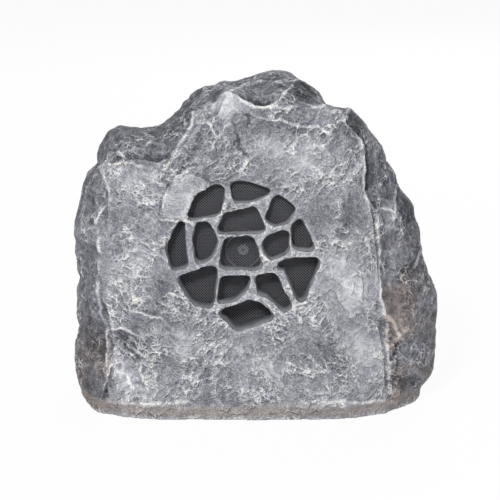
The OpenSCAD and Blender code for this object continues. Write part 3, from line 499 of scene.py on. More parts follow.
# Rims of the sound holes get pale paint: partly the dry brush, partly a painted highlight along their edges
RIM_MM = 1.8
bore_wall = (radius < PATTERN_R + 6) & (face_depth > 1.2) & (p[:, 1] < GRILLE_Y + 3)
inner = (facing < 0.12) & ~bore_wall
rim = averaged(bore_wall.astype(float), edges, max(1, round(RIM_MM / per_step)))
rim = np.clip(rim * 3, 0, 1) * ~bore_wall * outside
web = (1 - smooth(radius, PATTERN_R, PATTERN_R + 14)) * front
print("points on the walls of the holes:", int(bore_wall.sum()))

# %% [markdown]
# ## Fewer triangles where nothing happens
# The net is thinned by the collapse method, which keeps triangles where the relief is and drops them on the plain
# inside. The masks are then looked up again from the nearest point of the dense net.

# %% Thin the net
TRIANGLES = 190_000
dense = KDTree(len(p2))
for i, co in enumerate(p2):
    dense.insert(co, i)
dense.balance()
faces_now = sum(len(f.vertices) - 2 for f in boulder.data.polygons)
thin = boulder.modifiers.new("thin", "DECIMATE")
thin.ratio = min(1.0, TRIANGLES / faces_now)
apply_modifiers(boulder)
final, _ = read_points(boulder.data)
nearest = np.array([dense.find(co)[1] for co in final])
print("cast boulder:", sum(len(f.vertices) - 2 for f in boulder.data.polygons), "triangles")

# %% Store the masks on the mesh
side_share = (1 - front) * outside
masks = {
    "fine": np.clip(fine / (0.16 * per_step), -1, 1),
    "broad": np.clip(broad / 2.2, -1, 1),
    "tone_and_painted_light": np.clip(tone_and_painted_light, -2.2, 1.2),
    # Darker sides: partly less dry brush, partly painted shade where they turn away from the light
    "side": np.clip(side_share, 0, 1),
    "bore": bore_wall.astype(float),
    "inner": inner.astype(float),
    "marked": np.clip(marked, -1, 1),
    "rim": rim,
    "web": web,
    "slab": slab * front,
    "depth": np.clip(face_depth / 14, 0, 1) * bore_wall,
    "stain": side_share * smooth(170 + 0.25 * p[:, 0] - p[:, 2], 0, 90),
    "foot": outside * (1 - smooth(p[:, 2] + wander_z, 13, 17)),
}
for name, values in masks.items():
    layer = boulder.data.attributes.new(name, "FLOAT", "POINT")
    layer.data.foreach_set("value", values[nearest].astype(np.float32))
boulder.data.shade_smooth()
print("masks stored:", len(masks))

# %% [markdown]
# ## Finish: stone-effect cast resin
# The real casing is polyester resin cast grey in a rubber mould taken from rock. It is washed with dark grey, and a
# nearly dry brush drags off-white over whatever stands proud. Below the relief of the mesh there are still creases
# of 6 to 8 mm and a sandy grain, and the material draws those. One set of patterns gives both the bump and the
# paint that catches on it, so pale paint always sits on top. A picture wrapped round the mesh couldn't know its
# hollows and crests, so nodes that read millimetres and the masks are the better way.

# %% Millimetres and masks inside the material
stone, stone_tree, stone_surface = new_material("stone-effect cast resin, dry brushed")
place = add(stone_tree, "ShaderNodeTexCoord").outputs["Object"]
in_mm = add(stone_tree, "ShaderNodeVectorMath", {0: place, "Scale": 1 / MM}, operation="SCALE").outputs[0]
mask = {name: add(stone_tree, "ShaderNodeAttribute", attribute_name=name).outputs["Fac"] for name in masks}
print("masks in the stone:", ", ".join(mask))

# %% [markdown]
# ### Where the stone is rough
# A hand-worked face isn't equally rough all over. Noise hardened into patches says where creases show. The slab
# and the palest patches are plateaus worn smooth, and creases fade in and out along their length.

# %% Rough and worn places
def patchy(size_mm, low, high, detail, roughness=0.5, weakest=0.0):
    """Patches up to 1: noise of one size, hardened between two of its levels."""
    cloud = add(stone_tree, "ShaderNodeTexNoise", {"Vector": in_mm, "Scale": 1 / size_mm, "Detail": detail,
                "Roughness": roughness}).outputs["Fac"]
    return add(stone_tree, "ShaderNodeMapRange", {"Value": cloud, "From Min": low, "From Max": high,
               "To Min": weakest}, interpolation_type="SMOOTHSTEP").outputs["Result"]


def faded(pattern, where, share):
    """A pattern that loses a share of its strength where a mask is 1."""
    left = add(stone_tree, "ShaderNodeMath", {0: where, 1: -share, 2: 1.0}, operation="MULTIPLY_ADD").outputs[0]
    return add(stone_tree, "ShaderNodeMath", {0: pattern, 1: left}, operation="MULTIPLY").outputs[0]


worn = add(stone_tree, "ShaderNodeMapRange", {"Value": mask["tone_and_painted_light"], "From Min": 0.25, "From Max": 0.7},
           interpolation_type="SMOOTHSTEP").outputs["Result"]
unbroken = faded(faded(patchy(30, 0.43, 0.57, 1.5), mask["slab"], 0.85), worn, 0.8)
along_length = patchy(8, 0.42, 0.58, 2, weakest=0.5)
rough = add(stone_tree, "ShaderNodeMath", {0: unbroken, 1: along_length}, operation="MULTIPLY").outputs[0]
# Strokes and veins never quite leave, not even from the smooth places
everywhere = add(stone_tree, "ShaderNodeMath", {0: unbroken, 1: 0.72, 2: 0.28}, operation="MULTIPLY_ADD").outputs[0]
mostly = add(stone_tree, "ShaderNodeMath", {0: everywhere, 1: along_length}, operation="MULTIPLY").outputs[0]
# Sand of 1.8 mm is coarser than the real grain, so that it shows in a picture of 500 pixels
sand = faded(patchy(1.8, 0.3, 0.7, 1, roughness=0.8), worn, 0.45)
print("nodes so far:", len(stone_tree.nodes))

# %% [markdown]
# ### Creases, veins and overlapping plates
# The mould compound was dabbed and dragged with a tool, so most creases run along one of two slants. Voronoi's
# distance to the edge gives sharp forking lines. They come out straight, like cracked mud, unless the space they
# are drawn in is first pushed about by noise.

# %% Lines that wander
STROKE_MM, STROKE_STRETCH, CREASE_MM, VEIN_MM, PLATE_MM, PLATE_STEPS = 8.0, 2.8, 6.0, 16.0, 34.0, 5.0


def pushed(vector, size_mm, by_mm):
    """The place, pushed about by noise, which makes lines wander and fork."""
    cloud = add(stone_tree, "ShaderNodeTexNoise", {"Vector": vector, "Scale": 1 / size_mm, "Detail": 2.0,
                "Roughness": 0.5}).outputs["Color"]
    push = add(stone_tree, "ShaderNodeVectorMath", {0: cloud, 1: (0.5, 0.5, 0.5)}, operation="SUBTRACT").outputs[0]
    return add(stone_tree, "ShaderNodeVectorMath", {0: push, 1: (by_mm, by_mm, by_mm), 2: vector},
               operation="MULTIPLY_ADD").outputs[0]


def strokes_at(degrees):
    """Distance from creases that are drawn out along one slant of the face."""
    drawn_out = add(stone_tree, "ShaderNodeMapping", {"Vector": wandering, "Rotation": (0, math.radians(degrees), 0),
                    "Scale": (STROKE_STRETCH, 1, 1)}, vector_type="TEXTURE").outputs[0]
    return add(stone_tree, "ShaderNodeTexVoronoi", {"Vector": drawn_out, "Scale": 1 / STROKE_MM},
               feature="DISTANCE_TO_EDGE").outputs["Distance"]


def on_line(distance, low, high, where):
    """1 on a line and 0 past a distance from it, and only where a mask lets it show."""
    line = add(stone_tree, "ShaderNodeMapRange", {"Value": distance, "From Min": low, "From Max": high,
               "To Min": 1.0, "To Max": 0.0}, interpolation_type="SMOOTHSTEP").outputs["Result"]
    return add(stone_tree, "ShaderNodeMath", {0: line, 1: where}, operation="MULTIPLY").outputs[0]


wandering = pushed(pushed(in_mm, 26, 12), 7, 5)
# Strokes rise to the right on some parts of the face and fall on others
strokes = add(stone_tree, "ShaderNodeMix", {0: patchy(75, 0.46, 0.54, 0), 2: strokes_at(-48),
              3: strokes_at(32)}).outputs[0]
creases = add(stone_tree, "ShaderNodeTexVoronoi", {"Vector": wandering, "Scale": 1 / CREASE_MM},
              feature="DISTANCE_TO_EDGE").outputs["Distance"]
print("strokes of", STROKE_MM, "mm by", STROKE_MM * STROKE_STRETCH, "mm")

# %% Veins and plates
def set_stops(ramp, stops):
    """Colour stops of a ramp, from a list of positions and colours."""
    elements = ramp.color_ramp.elements
    while len(elements) < len(stops):
        elements.new(0.5)
    for element, (position, colour) in zip(elements, stops):
        element.position = position
        element.color = colour


# A vein follows the line on which smooth noise passes its middle
cloud = add(stone_tree, "ShaderNodeTexNoise", {"Vector": wandering, "Scale": 1 / VEIN_MM, "Detail": 1.5,
            "Roughness": 0.5}).outputs["Fac"]
off = add(stone_tree, "ShaderNodeMath", {0: cloud, 1: 0.5}, operation="SUBTRACT").outputs[0]
off = add(stone_tree, "ShaderNodeMath", {0: off}, operation="ABSOLUTE").outputs[0]
veins = on_line(off, 0.003, 0.03, mostly)
# Plates lap over one another: the height climbs slowly and drops at a crisp edge
cloud = add(stone_tree, "ShaderNodeTexNoise", {"Vector": wandering, "Scale": 1 / PLATE_MM, "Detail": 1.5,
            "Roughness": 0.5}).outputs["Fac"]
climb = add(stone_tree, "ShaderNodeMath", {0: cloud, 1: PLATE_STEPS}, operation="MULTIPLY").outputs[0]
climb = add(stone_tree, "ShaderNodeMath", {0: climb}, operation="FRACT").outputs[0]
plate_ramp = add(stone_tree, "ShaderNodeValToRGB", {"Fac": climb})
set_stops(plate_ramp, [(0.0, (0, 0, 0, 1)), (0.86, (1, 1, 1, 1)), (1.0, (0, 0, 0, 1))])
plates = plate_ramp.outputs["Color"]
print("nodes so far:", len(stone_tree.nodes))

# %% [markdown]
# ### Height and dry-brushed paint
# The bump takes the wide flanks of each crease, and the paint only its thin top, as a dry brush would. The paint
# is then added to the masks of the mesh, several of which hold painted highlight and painted shade, and one ramp
# turns the sum into greys from the wash and the painted shade to the brushed white and the painted highlight.

# %% Height, paint and tone
def built_up(start, parts):
    """A sum of parts, each times its own weight."""
    total = start
    for part, weight in parts:
        total = add(stone_tree, "ShaderNodeMath", {0: part, 1: weight, 2: total}, operation="MULTIPLY_ADD").outputs[0]
    return total


FLANK, TOP = 0.34, 0.12
height = built_up(0.0, [(plates, 0.3), (on_line(strokes, 0.0, FLANK, mostly), 0.6),
                        (on_line(creases, 0.0, FLANK, rough), 0.35), (veins, 0.5), (sand, 0.22)])
paint = built_up(0.0, [(plates, 0.06), (on_line(strokes, 0.0, TOP, mostly), 0.31),
                       (on_line(creases, 0.0, TOP, rough), 0.23), (veins, 0.38), (sand, 0.17)])
# The tone puts painted light into the paint: the patches are painted highlight and shade, the hollows and the sides
# are partly painted shade, the rims partly painted highlight, and the cracks painted shade
tone = built_up(0.3, [(mask["tone_and_painted_light"], 0.19), (mask["fine"], 0.07), (mask["broad"], 0.1), (paint, 1.0),
                      (mask["side"], -0.19), (mask["marked"], 0.3), (mask["rim"], 0.32), (mask["web"], -0.05),
                      (mask["slab"], 0.04)])
paint_ramp = add(stone_tree, "ShaderNodeValToRGB", {"Fac": tone})
set_stops(paint_ramp, [(0.0, linear("#232428")), (0.2, linear("#515258")), (0.38, linear("#7d7e84")),
                       (0.55, linear("#a2a3a8")), (0.72, linear("#c9c9cb")), (0.9, linear("#e8e7e3"))])
print("greys in the ramp:", len(paint_ramp.color_ramp.elements))

# %% [markdown]
# ### Stain, hole walls and raw inside
# Rain and soil leave a warm stain low down on the sides, which is a thin glaze, so it multiplies the paint. The
# foot is dusty, so it covers the paint. The walls of the sound holes were only sprayed, and they are painted darker
# with depth as painted shade deep in the holes, and the inside is bare resin. Both are plain, without creases. In a
# Mix node for colours the two inputs are numbers 6 and 7.

# %% Colour, sheen and bump of the stone
stain = add(stone_tree, "ShaderNodeMath", {0: mask["stain"], 1: patchy(40, 0.35, 0.65, 3)},
            operation="MULTIPLY").outputs[0]
stained = add(stone_tree, "ShaderNodeMix", {0: stain, 6: paint_ramp.outputs["Color"], 7: linear("#fdebdc")},
              data_type="RGBA", blend_type="MULTIPLY").outputs[2]
dust = add(stone_tree, "ShaderNodeMath", {0: mask["foot"], 1: 0.6}, operation="MULTIPLY").outputs[0]
washed = add(stone_tree, "ShaderNodeMix", {0: dust, 6: stained, 7: linear("#a3978e")}, data_type="RGBA").outputs[2]
# The walls go from mid grey at the lip to dark grey deep in the hole, which is painted shade
wall_with_painted_shade = add(stone_tree, "ShaderNodeMix", {0: mask["depth"], 6: linear("#8e8f94"), 7: linear("#505156")},
           data_type="RGBA").outputs[2]
walls = add(stone_tree, "ShaderNodeMix", {0: mask["bore"], 6: washed, 7: wall_with_painted_shade}, data_type="RGBA").outputs[2]
raw = add(stone_tree, "ShaderNodeMix", {0: mask["inner"], 6: walls, 7: linear("#6f6d68")},
          data_type="RGBA").outputs[2]
stone_tree.links.new(raw, stone_surface.inputs["Base Color"])
# The wash in the hollows is dead matt, and the dry-brushed paint on top is a little smoother
sheen = add(stone_tree, "ShaderNodeMapRange", {"Value": tone, "From Min": 0.1, "From Max": 0.8, "To Min": 0.86,
            "To Max": 0.66}).outputs["Result"]
stone_tree.links.new(sheen, stone_surface.inputs["Roughness"])
# Polyester resin has an IOR near 1.5
stone_surface.inputs["IOR"].default_value = 1.5
unseen = add(stone_tree, "ShaderNodeMath", {0: mask["bore"], 1: mask["inner"]}, operation="MAXIMUM").outputs[0]
bump = add(stone_tree, "ShaderNodeBump", {"Height": faded(height, unseen, 1.0), "Strength": 1.0,
           "Distance": 4.2 * MM})
stone_tree.links.new(bump.outputs["Normal"], stone_surface.inputs["Normal"])
print("nodes in the stone:", len(stone_tree.nodes))

# %% Put the skin in the casing's place
boulder.data.materials.append(stone)
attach(boulder, "casing")
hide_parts("rock_shell")
print("cast_boulder stands for rock_shell")

# %% [markdown]
# ## Finishes for the metal, paper and plastic pieces
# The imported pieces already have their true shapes, so each only needs its finish. Most finishes are a base
# colour broken by a grain of a real size, with a shallow bump from the same grain: moulded plastic has a fine spark
# texture, cast ferrite is speckled, paper pulp is fibrous. Wound and turned pieces get rings about their own
# axis instead.

# %% Distance from a turned piece's axis
def from_axis(tree, centre):
    """Distance from an axis that runs front to back."""
    place = add(tree, "ShaderNodeTexCoord").outputs["Object"]
    local = add(tree, "ShaderNodeMapping", {"Vector": place, "Location": tuple(-c for c in centre)}).outputs[0]
    flat = add(tree, "ShaderNodeVectorMath", {0: local, 1: (1, 0, 1)}, operation="MULTIPLY").outputs[0]
    return add(tree, "ShaderNodeVectorMath", {0: flat}, operation="LENGTH").outputs["Value"]


# %% Finish with a grain
# How much the gloss varies over a piece, each way
UNEVEN = 0.08


def finish(name, dark, light, grain_mm, bump_mm, roughness, metallic=0.0, stretch=(1, 1, 1), detail=3.0, coat=0.0,
           sheen=0.0, rings_mm=0.0, centre=(0, 0, 0)):
    """Two tones of a colour mixed by a grain of a real size, which gives the gloss and the bump as well."""
    material, tree, surface = new_material(name)
    place = add(tree, "ShaderNodeTexCoord").outputs["Object"]
    scaled = add(tree, "ShaderNodeMapping", {"Vector": place, "Scale": tuple(s / (grain_mm * MM) for s in stretch)})
    grain = add(tree, "ShaderNodeTexNoise", {"Vector": scaled.outputs[0], "Scale": 1.0, "Detail": detail,
                "Roughness": 0.6}).outputs["Fac"]
    height = grain
    if rings_mm:
        reach = from_axis(tree, centre)
        turns = add(tree, "ShaderNodeMath", {0: reach, 1: 2 * math.pi / (rings_mm * MM)}, operation="MULTIPLY")
        wave = add(tree, "ShaderNodeMath", {0: turns.outputs[0]}, operation="SINE").outputs[0]
        height = add(tree, "ShaderNodeMath", {0: wave, 1: 0.35, 2: grain}, operation="MULTIPLY_ADD").outputs[0]
    mixed = add(tree, "ShaderNodeMix", {0: height, 6: linear(dark), 7: linear(light)}, data_type="RGBA")
    tree.links.new(mixed.outputs[2], surface.inputs["Base Color"])
    gloss = add(tree, "ShaderNodeMapRange", {"Value": grain, "To Min": max(0.05, roughness - UNEVEN),
                "To Max": min(1.0, roughness + UNEVEN)}).outputs["Result"]
    tree.links.new(gloss, surface.inputs["Roughness"])
    surface.inputs["Metallic"].default_value = metallic
    surface.inputs["Coat Weight"].default_value = coat
    surface.inputs["Sheen Weight"].default_value = sheen
    bump = add(tree, "ShaderNodeBump", {"Height": height, "Strength": 1.0, "Distance": bump_mm * MM})
    tree.links.new(bump.outputs["Normal"], surface.inputs["Normal"])
    return material


# %% A paler ring, and putting a finish on its pieces
def bright_rimmed(material, centre, inner_mm, outer_mm, code):
    """Adds a paler ring about an axis that runs front to back."""
    tree = material.node_tree
    surface = tree.nodes["Principled BSDF"]
    below = surface.inputs["Base Color"].links[0].from_socket
    ring = add(tree, "ShaderNodeMath", {0: from_axis(tree, centre), 1: (inner_mm + outer_mm) / 2 * MM,
               2: (outer_mm - inner_mm) / 2 * MM}, operation="COMPARE").outputs[0]
    both = add(tree, "ShaderNodeMix", {0: ring, 6: below, 7: linear(code)}, data_type="RGBA")
    tree.links.new(both.outputs[2], surface.inputs["Base Color"])
    return material


def dress(material, *names):
    """Puts one finish on all the faces of the named pieces."""
    for name in names:
        slots = nodes[name].data.materials
        if len(slots) == 0:
            slots.append(material)
        for i in range(len(slots)):
            slots[i] = material
    print(material.name, "on", ", ".join(names))


# %% [markdown]
# ## The grille: woven wire
# Behind the holes lies a disc of fine black woven wire. Every wire is the same shape, a thin rod that passes over
# and under its neighbours, so Geometry Nodes is the natural tool: a grid gives one row of points per wire, a wave
# lifts them over and under, and a small profile is swept along each row. Turned over about its diagonal, the same
# layer becomes the crossing wires. An image of a weave would be quicker, but it would lie flat and let no light
# through. The real pitch is about 1.5 mm; it is drawn at 2 mm so that it still shows in a picture of 500 pixels.

# %% Inputs of the weave
weave = bpy.data.node_groups.new("woven_wire", "GeometryNodeTree")
for name, value in (("Radius", 0.078), ("Pitch", 0.002), ("Wire", 0.0006), ("Hem", 0.003)):
    weave.interface.new_socket(name, in_out="INPUT", socket_type="NodeSocketFloat").default_value = value
weave.interface.new_socket("Geometry", in_out="OUTPUT", socket_type="NodeSocketGeometry")
size = add(weave, "NodeGroupInput").outputs
half_wire = add(weave, "ShaderNodeMath", {0: size["Wire"], 1: 0.5}, operation="MULTIPLY").outputs[0]
print("weave inputs:", [socket.name for socket in size if socket.name])

# %% Rows of points, one row for each wire
across = add(weave, "ShaderNodeMath", {0: size["Radius"], 1: 2.0}, operation="MULTIPLY").outputs[0]
gaps = add(weave, "ShaderNodeMath", {0: across, 1: size["Pitch"]}, operation="DIVIDE").outputs[0]
gaps = add(weave, "ShaderNodeMath", {0: gaps}, operation="ROUND").outputs[0]
wires = add(weave, "ShaderNodeMath", {0: gaps, 1: 1.0}, operation="ADD").outputs[0]
steps = add(weave, "ShaderNodeMath", {0: gaps, 1: 2.0, 2: 1.0}, operation="MULTIPLY_ADD").outputs[0]
grid = add(weave, "GeometryNodeMeshGrid", {"Size X": across, "Size Y": across, "Vertices X": wires,
           "Vertices Y": steps}).outputs["Mesh"]
# Edges that run across the rows are taken out, and what is left are the paths of the wires
ends = add(weave, "GeometryNodeInputMeshEdgeVertices").outputs
along = add(weave, "ShaderNodeVectorMath", {0: ends["Position 1"], 1: ends["Position 2"]},
            operation="SUBTRACT").outputs[0]
sideways = add(weave, "ShaderNodeSeparateXYZ", {0: along}).outputs["X"]
sideways = add(weave, "ShaderNodeMath", {0: sideways}, operation="ABSOLUTE").outputs[0]
crossing = add(weave, "ShaderNodeMath", {0: sideways, 1: 1e-5}, operation="GREATER_THAN").outputs[0]
rows = add(weave, "GeometryNodeDeleteGeometry", {"Geometry": grid, "Selection": crossing}, domain="EDGE",
           mode="EDGE_FACE").outputs[0]
# Points outside the circle go as well, which turns the square into a disc
point = add(weave, "GeometryNodeInputPosition").outputs[0]
reach = add(weave, "ShaderNodeVectorMath", {0: point}, operation="LENGTH").outputs["Value"]
far = add(weave, "ShaderNodeMath", {0: reach, 1: size["Radius"]}, operation="GREATER_THAN").outputs[0]
disc = add(weave, "GeometryNodeDeleteGeometry", {"Geometry": rows, "Selection": far}, domain="POINT").outputs[0]
print("nodes in the weave so far:", len(weave.nodes))

# %% Waves, wires and hem
xyz = add(weave, "ShaderNodeSeparateXYZ", {0: point}).outputs
lift = half_wire
for axis in ("X", "Y"):
    from_corner = add(weave, "ShaderNodeMath", {0: xyz[axis], 1: size["Radius"]}, operation="ADD").outputs[0]
    pitches = add(weave, "ShaderNodeMath", {0: from_corner, 1: size["Pitch"]}, operation="DIVIDE").outputs[0]
    angle = add(weave, "ShaderNodeMath", {0: pitches, 1: math.pi}, operation="MULTIPLY").outputs[0]
    wave = add(weave, "ShaderNodeMath", {0: angle}, operation="COSINE").outputs[0]
    lift = add(weave, "ShaderNodeMath", {0: lift, 1: wave}, operation="MULTIPLY").outputs[0]
offset = add(weave, "ShaderNodeCombineXYZ", {"Z": lift}).outputs[0]
waved = add(weave, "GeometryNodeSetPosition", {"Geometry": disc, "Offset": offset}).outputs[0]
paths = add(weave, "GeometryNodeMeshToCurve", {0: waved}).outputs[0]
section = add(weave, "GeometryNodeCurvePrimitiveCircle", {"Resolution": 4, "Radius": half_wire}).outputs[0]
warp_wires = add(weave, "GeometryNodeCurveToMesh", {"Curve": paths, "Profile Curve": section,
                 "Fill Caps": True}).outputs[0]
weft_wires = add(weave, "GeometryNodeTransform", {"Geometry": warp_wires,
                 "Rotation": (math.pi, 0, math.pi / 2)}).outputs[0]
# A flat hem round the edge grips both layers
hem_path = add(weave, "GeometryNodeCurvePrimitiveCircle", {"Resolution": 96, "Radius": size["Radius"]}).outputs[0]
hem_height = add(weave, "ShaderNodeMath", {0: size["Wire"], 1: 1.9}, operation="MULTIPLY").outputs[0]
hem_section = add(weave, "GeometryNodeCurvePrimitiveQuadrilateral", {"Width": size["Hem"],
                  "Height": hem_height}).outputs[0]
hem = add(weave, "GeometryNodeCurveToMesh", {"Curve": hem_path, "Profile Curve": hem_section}).outputs[0]
joined = add(weave, "GeometryNodeJoinGeometry")
for part in (warp_wires, weft_wires, hem):
    weave.links.new(part, joined.inputs[0])
# Stove enamel on wire: dark, and slightly glossy where it pools at the crossings
wire_enamel = finish("black stove-enamelled wire", "#4c4d51", "#75767b", 0.8, 0.03, 0.45)
real = add(weave, "GeometryNodeRealizeInstances", {0: joined.outputs[0]}).outputs[0]
done = add(weave, "GeometryNodeSetMaterial", {"Geometry": real, "Material": wire_enamel}).outputs[0]
add(weave, "NodeGroupOutput", {0: done})
print("nodes in the weave:", len(weave.nodes))

# %% Make the grille
def from_tree(name, tree, values, turn):
    """Makes a plain mesh from a node tree, and puts its place into the mesh."""
    obj = bpy.data.objects.new(name, bpy.data.meshes.new(name))
    bpy.context.scene.collection.objects.link(obj)
    modifier = obj.modifiers.new("shape", "NODES")
    modifier.node_group = tree
    sockets = {item.name: item.identifier for item in tree.interface.items_tree if item.in_out == "INPUT"}
    for key, value in values.items():
        modifier[sockets[key]] = value
    apply_modifiers(obj)
    obj.data.transform(turn)
    obj.data.update()
    return obj


# The weave lies 0.6 mm behind the plane of the web's back, upright, with its wires on the diagonals
GRILLE_TURN = (Matrix.Translation(Vector((AXIS_X, GRILLE_Y + 0.6, AXIS_Z)) * MM)
               @ Matrix.Rotation(math.pi / 2, 4, "X") @ Matrix.Rotation(math.pi / 4, 4, "Z"))
PITCH, WIRE = ((2.0, 0.6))
grille = from_tree("woven_wire_grille", weave, {"Pitch": PITCH * MM, "Wire": WIRE * MM}, GRILLE_TURN)
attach(grille, "casing")
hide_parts("grille_mesh")
print("grille:", sum(len(f.vertices) - 2 for f in grille.data.polygons), "triangles")

# %% [markdown]
# ## Dress the driver, the base and the crossover
# Little of this is seen through the grille, but the pieces are there, so each gets the finish of the real part.
# Each line names the finish, its two colours, the size of its grain, the depth of its bump and its roughness.

# %% The driver
AXIS = (AXIS_X * MM, 0, AXIS_Z * MM)
# Spark-eroded moulds leave a fine even sheen on ABS
dress(finish("moulded black ABS, spark textured", "#17181a", "#26272a", 0.9, 0.04, 0.5), "spacer_ring")
# Cut cells swallow light, so foam looks dead black
dress(finish("closed-cell foam, cut", "#161617", "#2a2a2c", 1.2, 0.12, 0.95), "driver_gasket", "base_gasket")
# Zinc is a cool bright mirror, broken a little by the plating
dress(finish("zinc-plated steel, bright", "#a9acb0", "#d2d4d6", 2.5, 0.01, 0.28, metallic=1.0),
      "driver_screws", "base_screws")
# Powder coat shows a fine orange peel
dress(finish("pressed steel, black powder coat", "#161719", "#232427", 0.7, 0.06, 0.45), "basket")
# Rubber from a polished mould is even and soft-looking
dress(finish("butyl rubber, matt moulded", "#101011", "#1b1b1d", 1.5, 0.02, 0.6), "surround", "gland_seal")
# Pulp is laid wet on a former, so its fibres lie every way and the surface is slightly fuzzy
dress(finish("coated paper pulp", "#232326", "#3b3b40", 1.6, 0.15, 0.8, detail=6.0, sheen=0.2), "cone")
# Turns of wire catch the light one by one
dress(finish("enamelled copper winding", "#6e2f12", "#c06a35", 3.0, 0.05, 0.3, metallic=1.0, rings_mm=0.8,
             centre=AXIS), "voice_coil", "inductor")
# The resin turns the cloth amber and leaves its threads dull
dress(finish("phenolic-treated cotton cloth", "#8d6a2c", "#b9924c", 0.8, 0.1, 0.85), "spider")
# The lathe leaves rings under the plating
dress(finish("zinc-plated mild steel, turned", "#9ea1a5", "#c8cacc", 2.0, 0.01, 0.35, metallic=1.0, rings_mm=0.6,
             centre=AXIS), "top_plate", "yoke")
# Ferrite is ground flat and stays dull and speckled
dress(finish("sintered ferrite, ground", "#26272a", "#3d3e42", 1.1, 0.05, 0.7), "magnet")
# Paper layers show as faint streaks along the board
dress(finish("phenolic paper board", "#5c3317", "#7d4a26", 1.8, 0.03, 0.5, stretch=(1, 1, 4)), "terminal_strip")
# The drawing die leaves streaks along the tube
dress(finish("drawn aluminium tube", "#a7a9ac", "#cfd1d3", 1.2, 0.01, 0.32, metallic=1.0, stretch=(1, 0.1, 1)),
      "tweeter_post")
# The tweeter's front is a glossy moulding, and a thin pale ring on its rim is a painted highlight, seen through the
# grille
dress(bright_rimmed(finish("moulded black ABS, polished", "#2a2b2f", "#3a3b40", 6.0, 0.01, 0.22, coat=0.3),
                    AXIS, 16.6, 18.5, "#a4a6aa"), "tweeter_housing")
# The dome gets a paler ring from 1.2 to 5.6 mm about its axis, which shows as a small light disc
dress(bright_rimmed(finish("polyester film dome, drawn", "#44464a", "#5a5c60", 3.0, 0.01, 0.35), AXIS, 1.2, 5.6,
                    "#dcdee0"), "tweeter_dome")

# %% The base and the crossover
# Polypropylene is waxy, with a leathery grain
dress(finish("moulded black polypropylene, grained", "#1a1b1d", "#2c2d30", 1.4, 0.08, 0.6), "base_plate")
# Resist is a thin glossy lacquer over the weave of the glass
dress(finish("fibreglass board, green resist", "#14512a", "#2a7a40", 0.9, 0.03, 0.35, coat=0.3),
      "crossover_board")
# Brass is warm and bright
dress(finish("bright brass", "#b38a35", "#dcbb67", 2.0, 0.01, 0.25, metallic=1.0), "board_screws")
# Dipped epoxy is smooth, rounded and glossy
dress(finish("film capacitor, yellow epoxy", "#b98a16", "#d8a92c", 4.0, 0.03, 0.3, coat=0.3),
      "tweeter_capacitor")
dress(finish("film capacitor, red epoxy", "#7a1812", "#a3261c", 4.0, 0.03, 0.3, coat=0.3), "woofer_capacitor")
# Cast cement is chalky
dress(finish("white cement, cast", "#cfccc3", "#ebe8e0", 1.0, 0.08, 0.8), "resistor")
# Filled polyamide has a soft sheen
dress(finish("moulded green polyamide", "#1f6a3a", "#2f8850", 1.2, 0.03, 0.45), "input_terminal")
dress(finish("black nylon, moulded and knurled", "#151618", "#242528", 1.0, 0.05, 0.42),
      "gland_body", "gland_locknut", "gland_nut")
# Soft PVC is smooth and slightly waxy
dress(finish("red PVC insulation", "#93201a", "#b53028", 2.0, 0.01, 0.4), "woofer_lead")
dress(finish("blue PVC insulation", "#1d3c86", "#2d54a8", 2.0, 0.01, 0.4), "tweeter_lead")
print("dressed", len(nodes), "nodes")

# %% [markdown]
# ## Camera
# The picture was taken from a little above, with a long lens. At this lens one pixel of the picture is one
# millimetre at the face, which makes it easy to read places off it. The view transform is Standard, so that a
# colour comes out about as it is written.

# %% Camera
PICTURE_PX = 500
SENSOR_MM = 36
AIM = (-7, FACE_FOOT_Y + 176 * FACE_LEAN, 176)
scene = bpy.context.scene
scene.view_settings.view_transform = "Standard"
camera = bpy.data.objects.new("camera", bpy.data.cameras.new("camera"))
scene.collection.objects.link(camera)
back_off = Vector((0, -math.cos(VIEW_ELEVATION), math.sin(VIEW_ELEVATION)))
camera.location = (Vector(AIM) + VIEW_DISTANCE * back_off) * MM
camera.rotation_euler = (math.pi / 2 - VIEW_ELEVATION, 0, 0)
camera.data.sensor_width = SENSOR_MM
camera.data.lens = SENSOR_MM * VIEW_DISTANCE / PICTURE_PX
camera.data.clip_end = 50
scene.camera = camera
print("lens:", round(camera.data.lens, 1), "mm")

# %% [markdown]
# ## Floor and world
# The background is white, but white surroundings would light the object too much. So the white is only for rays
# that meet the background straight from the camera, in a mirror or through glass, and the lamps light the rest.

# %% Which rays see white
def background_seen(tree):
    """1 for the rays that should meet the white background."""
    path = add(tree, "ShaderNodeLightPath").outputs
    seen = path["Is Camera Ray"]
    for other in ("Is Glossy Ray", "Is Transmission Ray"):
        seen = add(tree, "ShaderNodeMath", {0: seen, 1: path[other]}, operation="MAXIMUM").outputs[0]
    return seen


# %% Floor
FLOOR_HALF = 30
# The floor glows for 94 parts in 100, so that the shadow of the boulder still shows on it
FLOOR_GLOW = 0.94
floor_mesh = bpy.data.meshes.new("floor")
corners = [(x_sign * FLOOR_HALF, y_sign * FLOOR_HALF, 0) for x_sign, y_sign in ((-1, -1), (1, -1), (1, 1), (-1, 1))]
floor_mesh.from_pydata(corners, [], [(0, 1, 2, 3)])
floor = bpy.data.objects.new("floor", floor_mesh)
scene.collection.objects.link(floor)
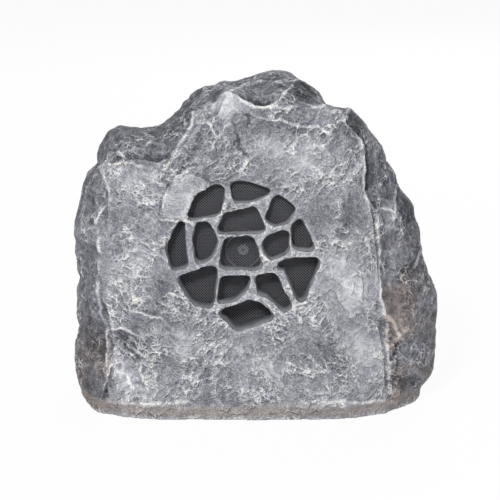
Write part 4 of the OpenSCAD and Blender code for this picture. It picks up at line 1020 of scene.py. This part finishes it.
# Matt card shows nothing of its own but the shadow
paper = bpy.data.materials.new("pale studio card, matt")
paper.use_nodes = True
paper_tree = paper.node_tree
paper_tree.nodes.clear()
diffuse = add(paper_tree, "ShaderNodeBsdfDiffuse", {"Color": linear("#e8e8e8")})
glow = add(paper_tree, "ShaderNodeEmission", {"Color": linear("#ffffff"), "Strength": 1.0})
share = add(paper_tree, "ShaderNodeMath", {0: background_seen(paper_tree), 1: FLOOR_GLOW}, operation="MULTIPLY")
both = add(paper_tree, "ShaderNodeMixShader", {0: share.outputs[0], 1: diffuse.outputs[0], 2: glow.outputs[0]})
add(paper_tree, "ShaderNodeOutputMaterial", {"Surface": both.outputs[0]})
floor_mesh.materials.append(paper)
print("floor:", 2 * FLOOR_HALF, "m across")

# %% World
world = bpy.data.worlds.new("studio")
scene.world = world
world.use_nodes = True
sky = world.node_tree
sky.nodes.clear()
soft = add(sky, "ShaderNodeBackground", {"Color": linear("#f4f6ff"), "Strength": 0.38})
white = add(sky, "ShaderNodeBackground", {"Color": linear("#fbfbfb"), "Strength": 1.0})
mix = add(sky, "ShaderNodeMixShader", {0: background_seen(sky), 1: soft.outputs[0], 2: white.outputs[0]})
add(sky, "ShaderNodeOutputWorld", {"Surface": mix.outputs[0]})
print("world nodes:", len(sky.nodes))

# %% [markdown]
# ## Lamps
# A small softbox high on the left draws the crisp relief, a weak wide one on the right opens the shadows, and a
# third behind gives the back some form when the boulder is turned.

# %% Softboxes
LAMP_AIM = Vector((0, 0, 0.15))


def softbox(name, place, size_m, watts):
    data = bpy.data.lights.new(name, "AREA")
    data.shape = "SQUARE"
    data.size = size_m
    data.energy = watts
    lamp = bpy.data.objects.new(name, data)
    lamp.location = place
    lamp.rotation_euler = (LAMP_AIM - Vector(place)).to_track_quat("-Z", "Y").to_euler()
    scene.collection.objects.link(lamp)
    print(name, "softbox:", watts, "W")


softbox("key", (-0.75, -2.1, 2.0), 0.4, 68)
softbox("fill", (1.3, -1.9, 0.6), 1.2, 5)
softbox("back", (0.7, 2.3, 1.6), 1.4, 40)
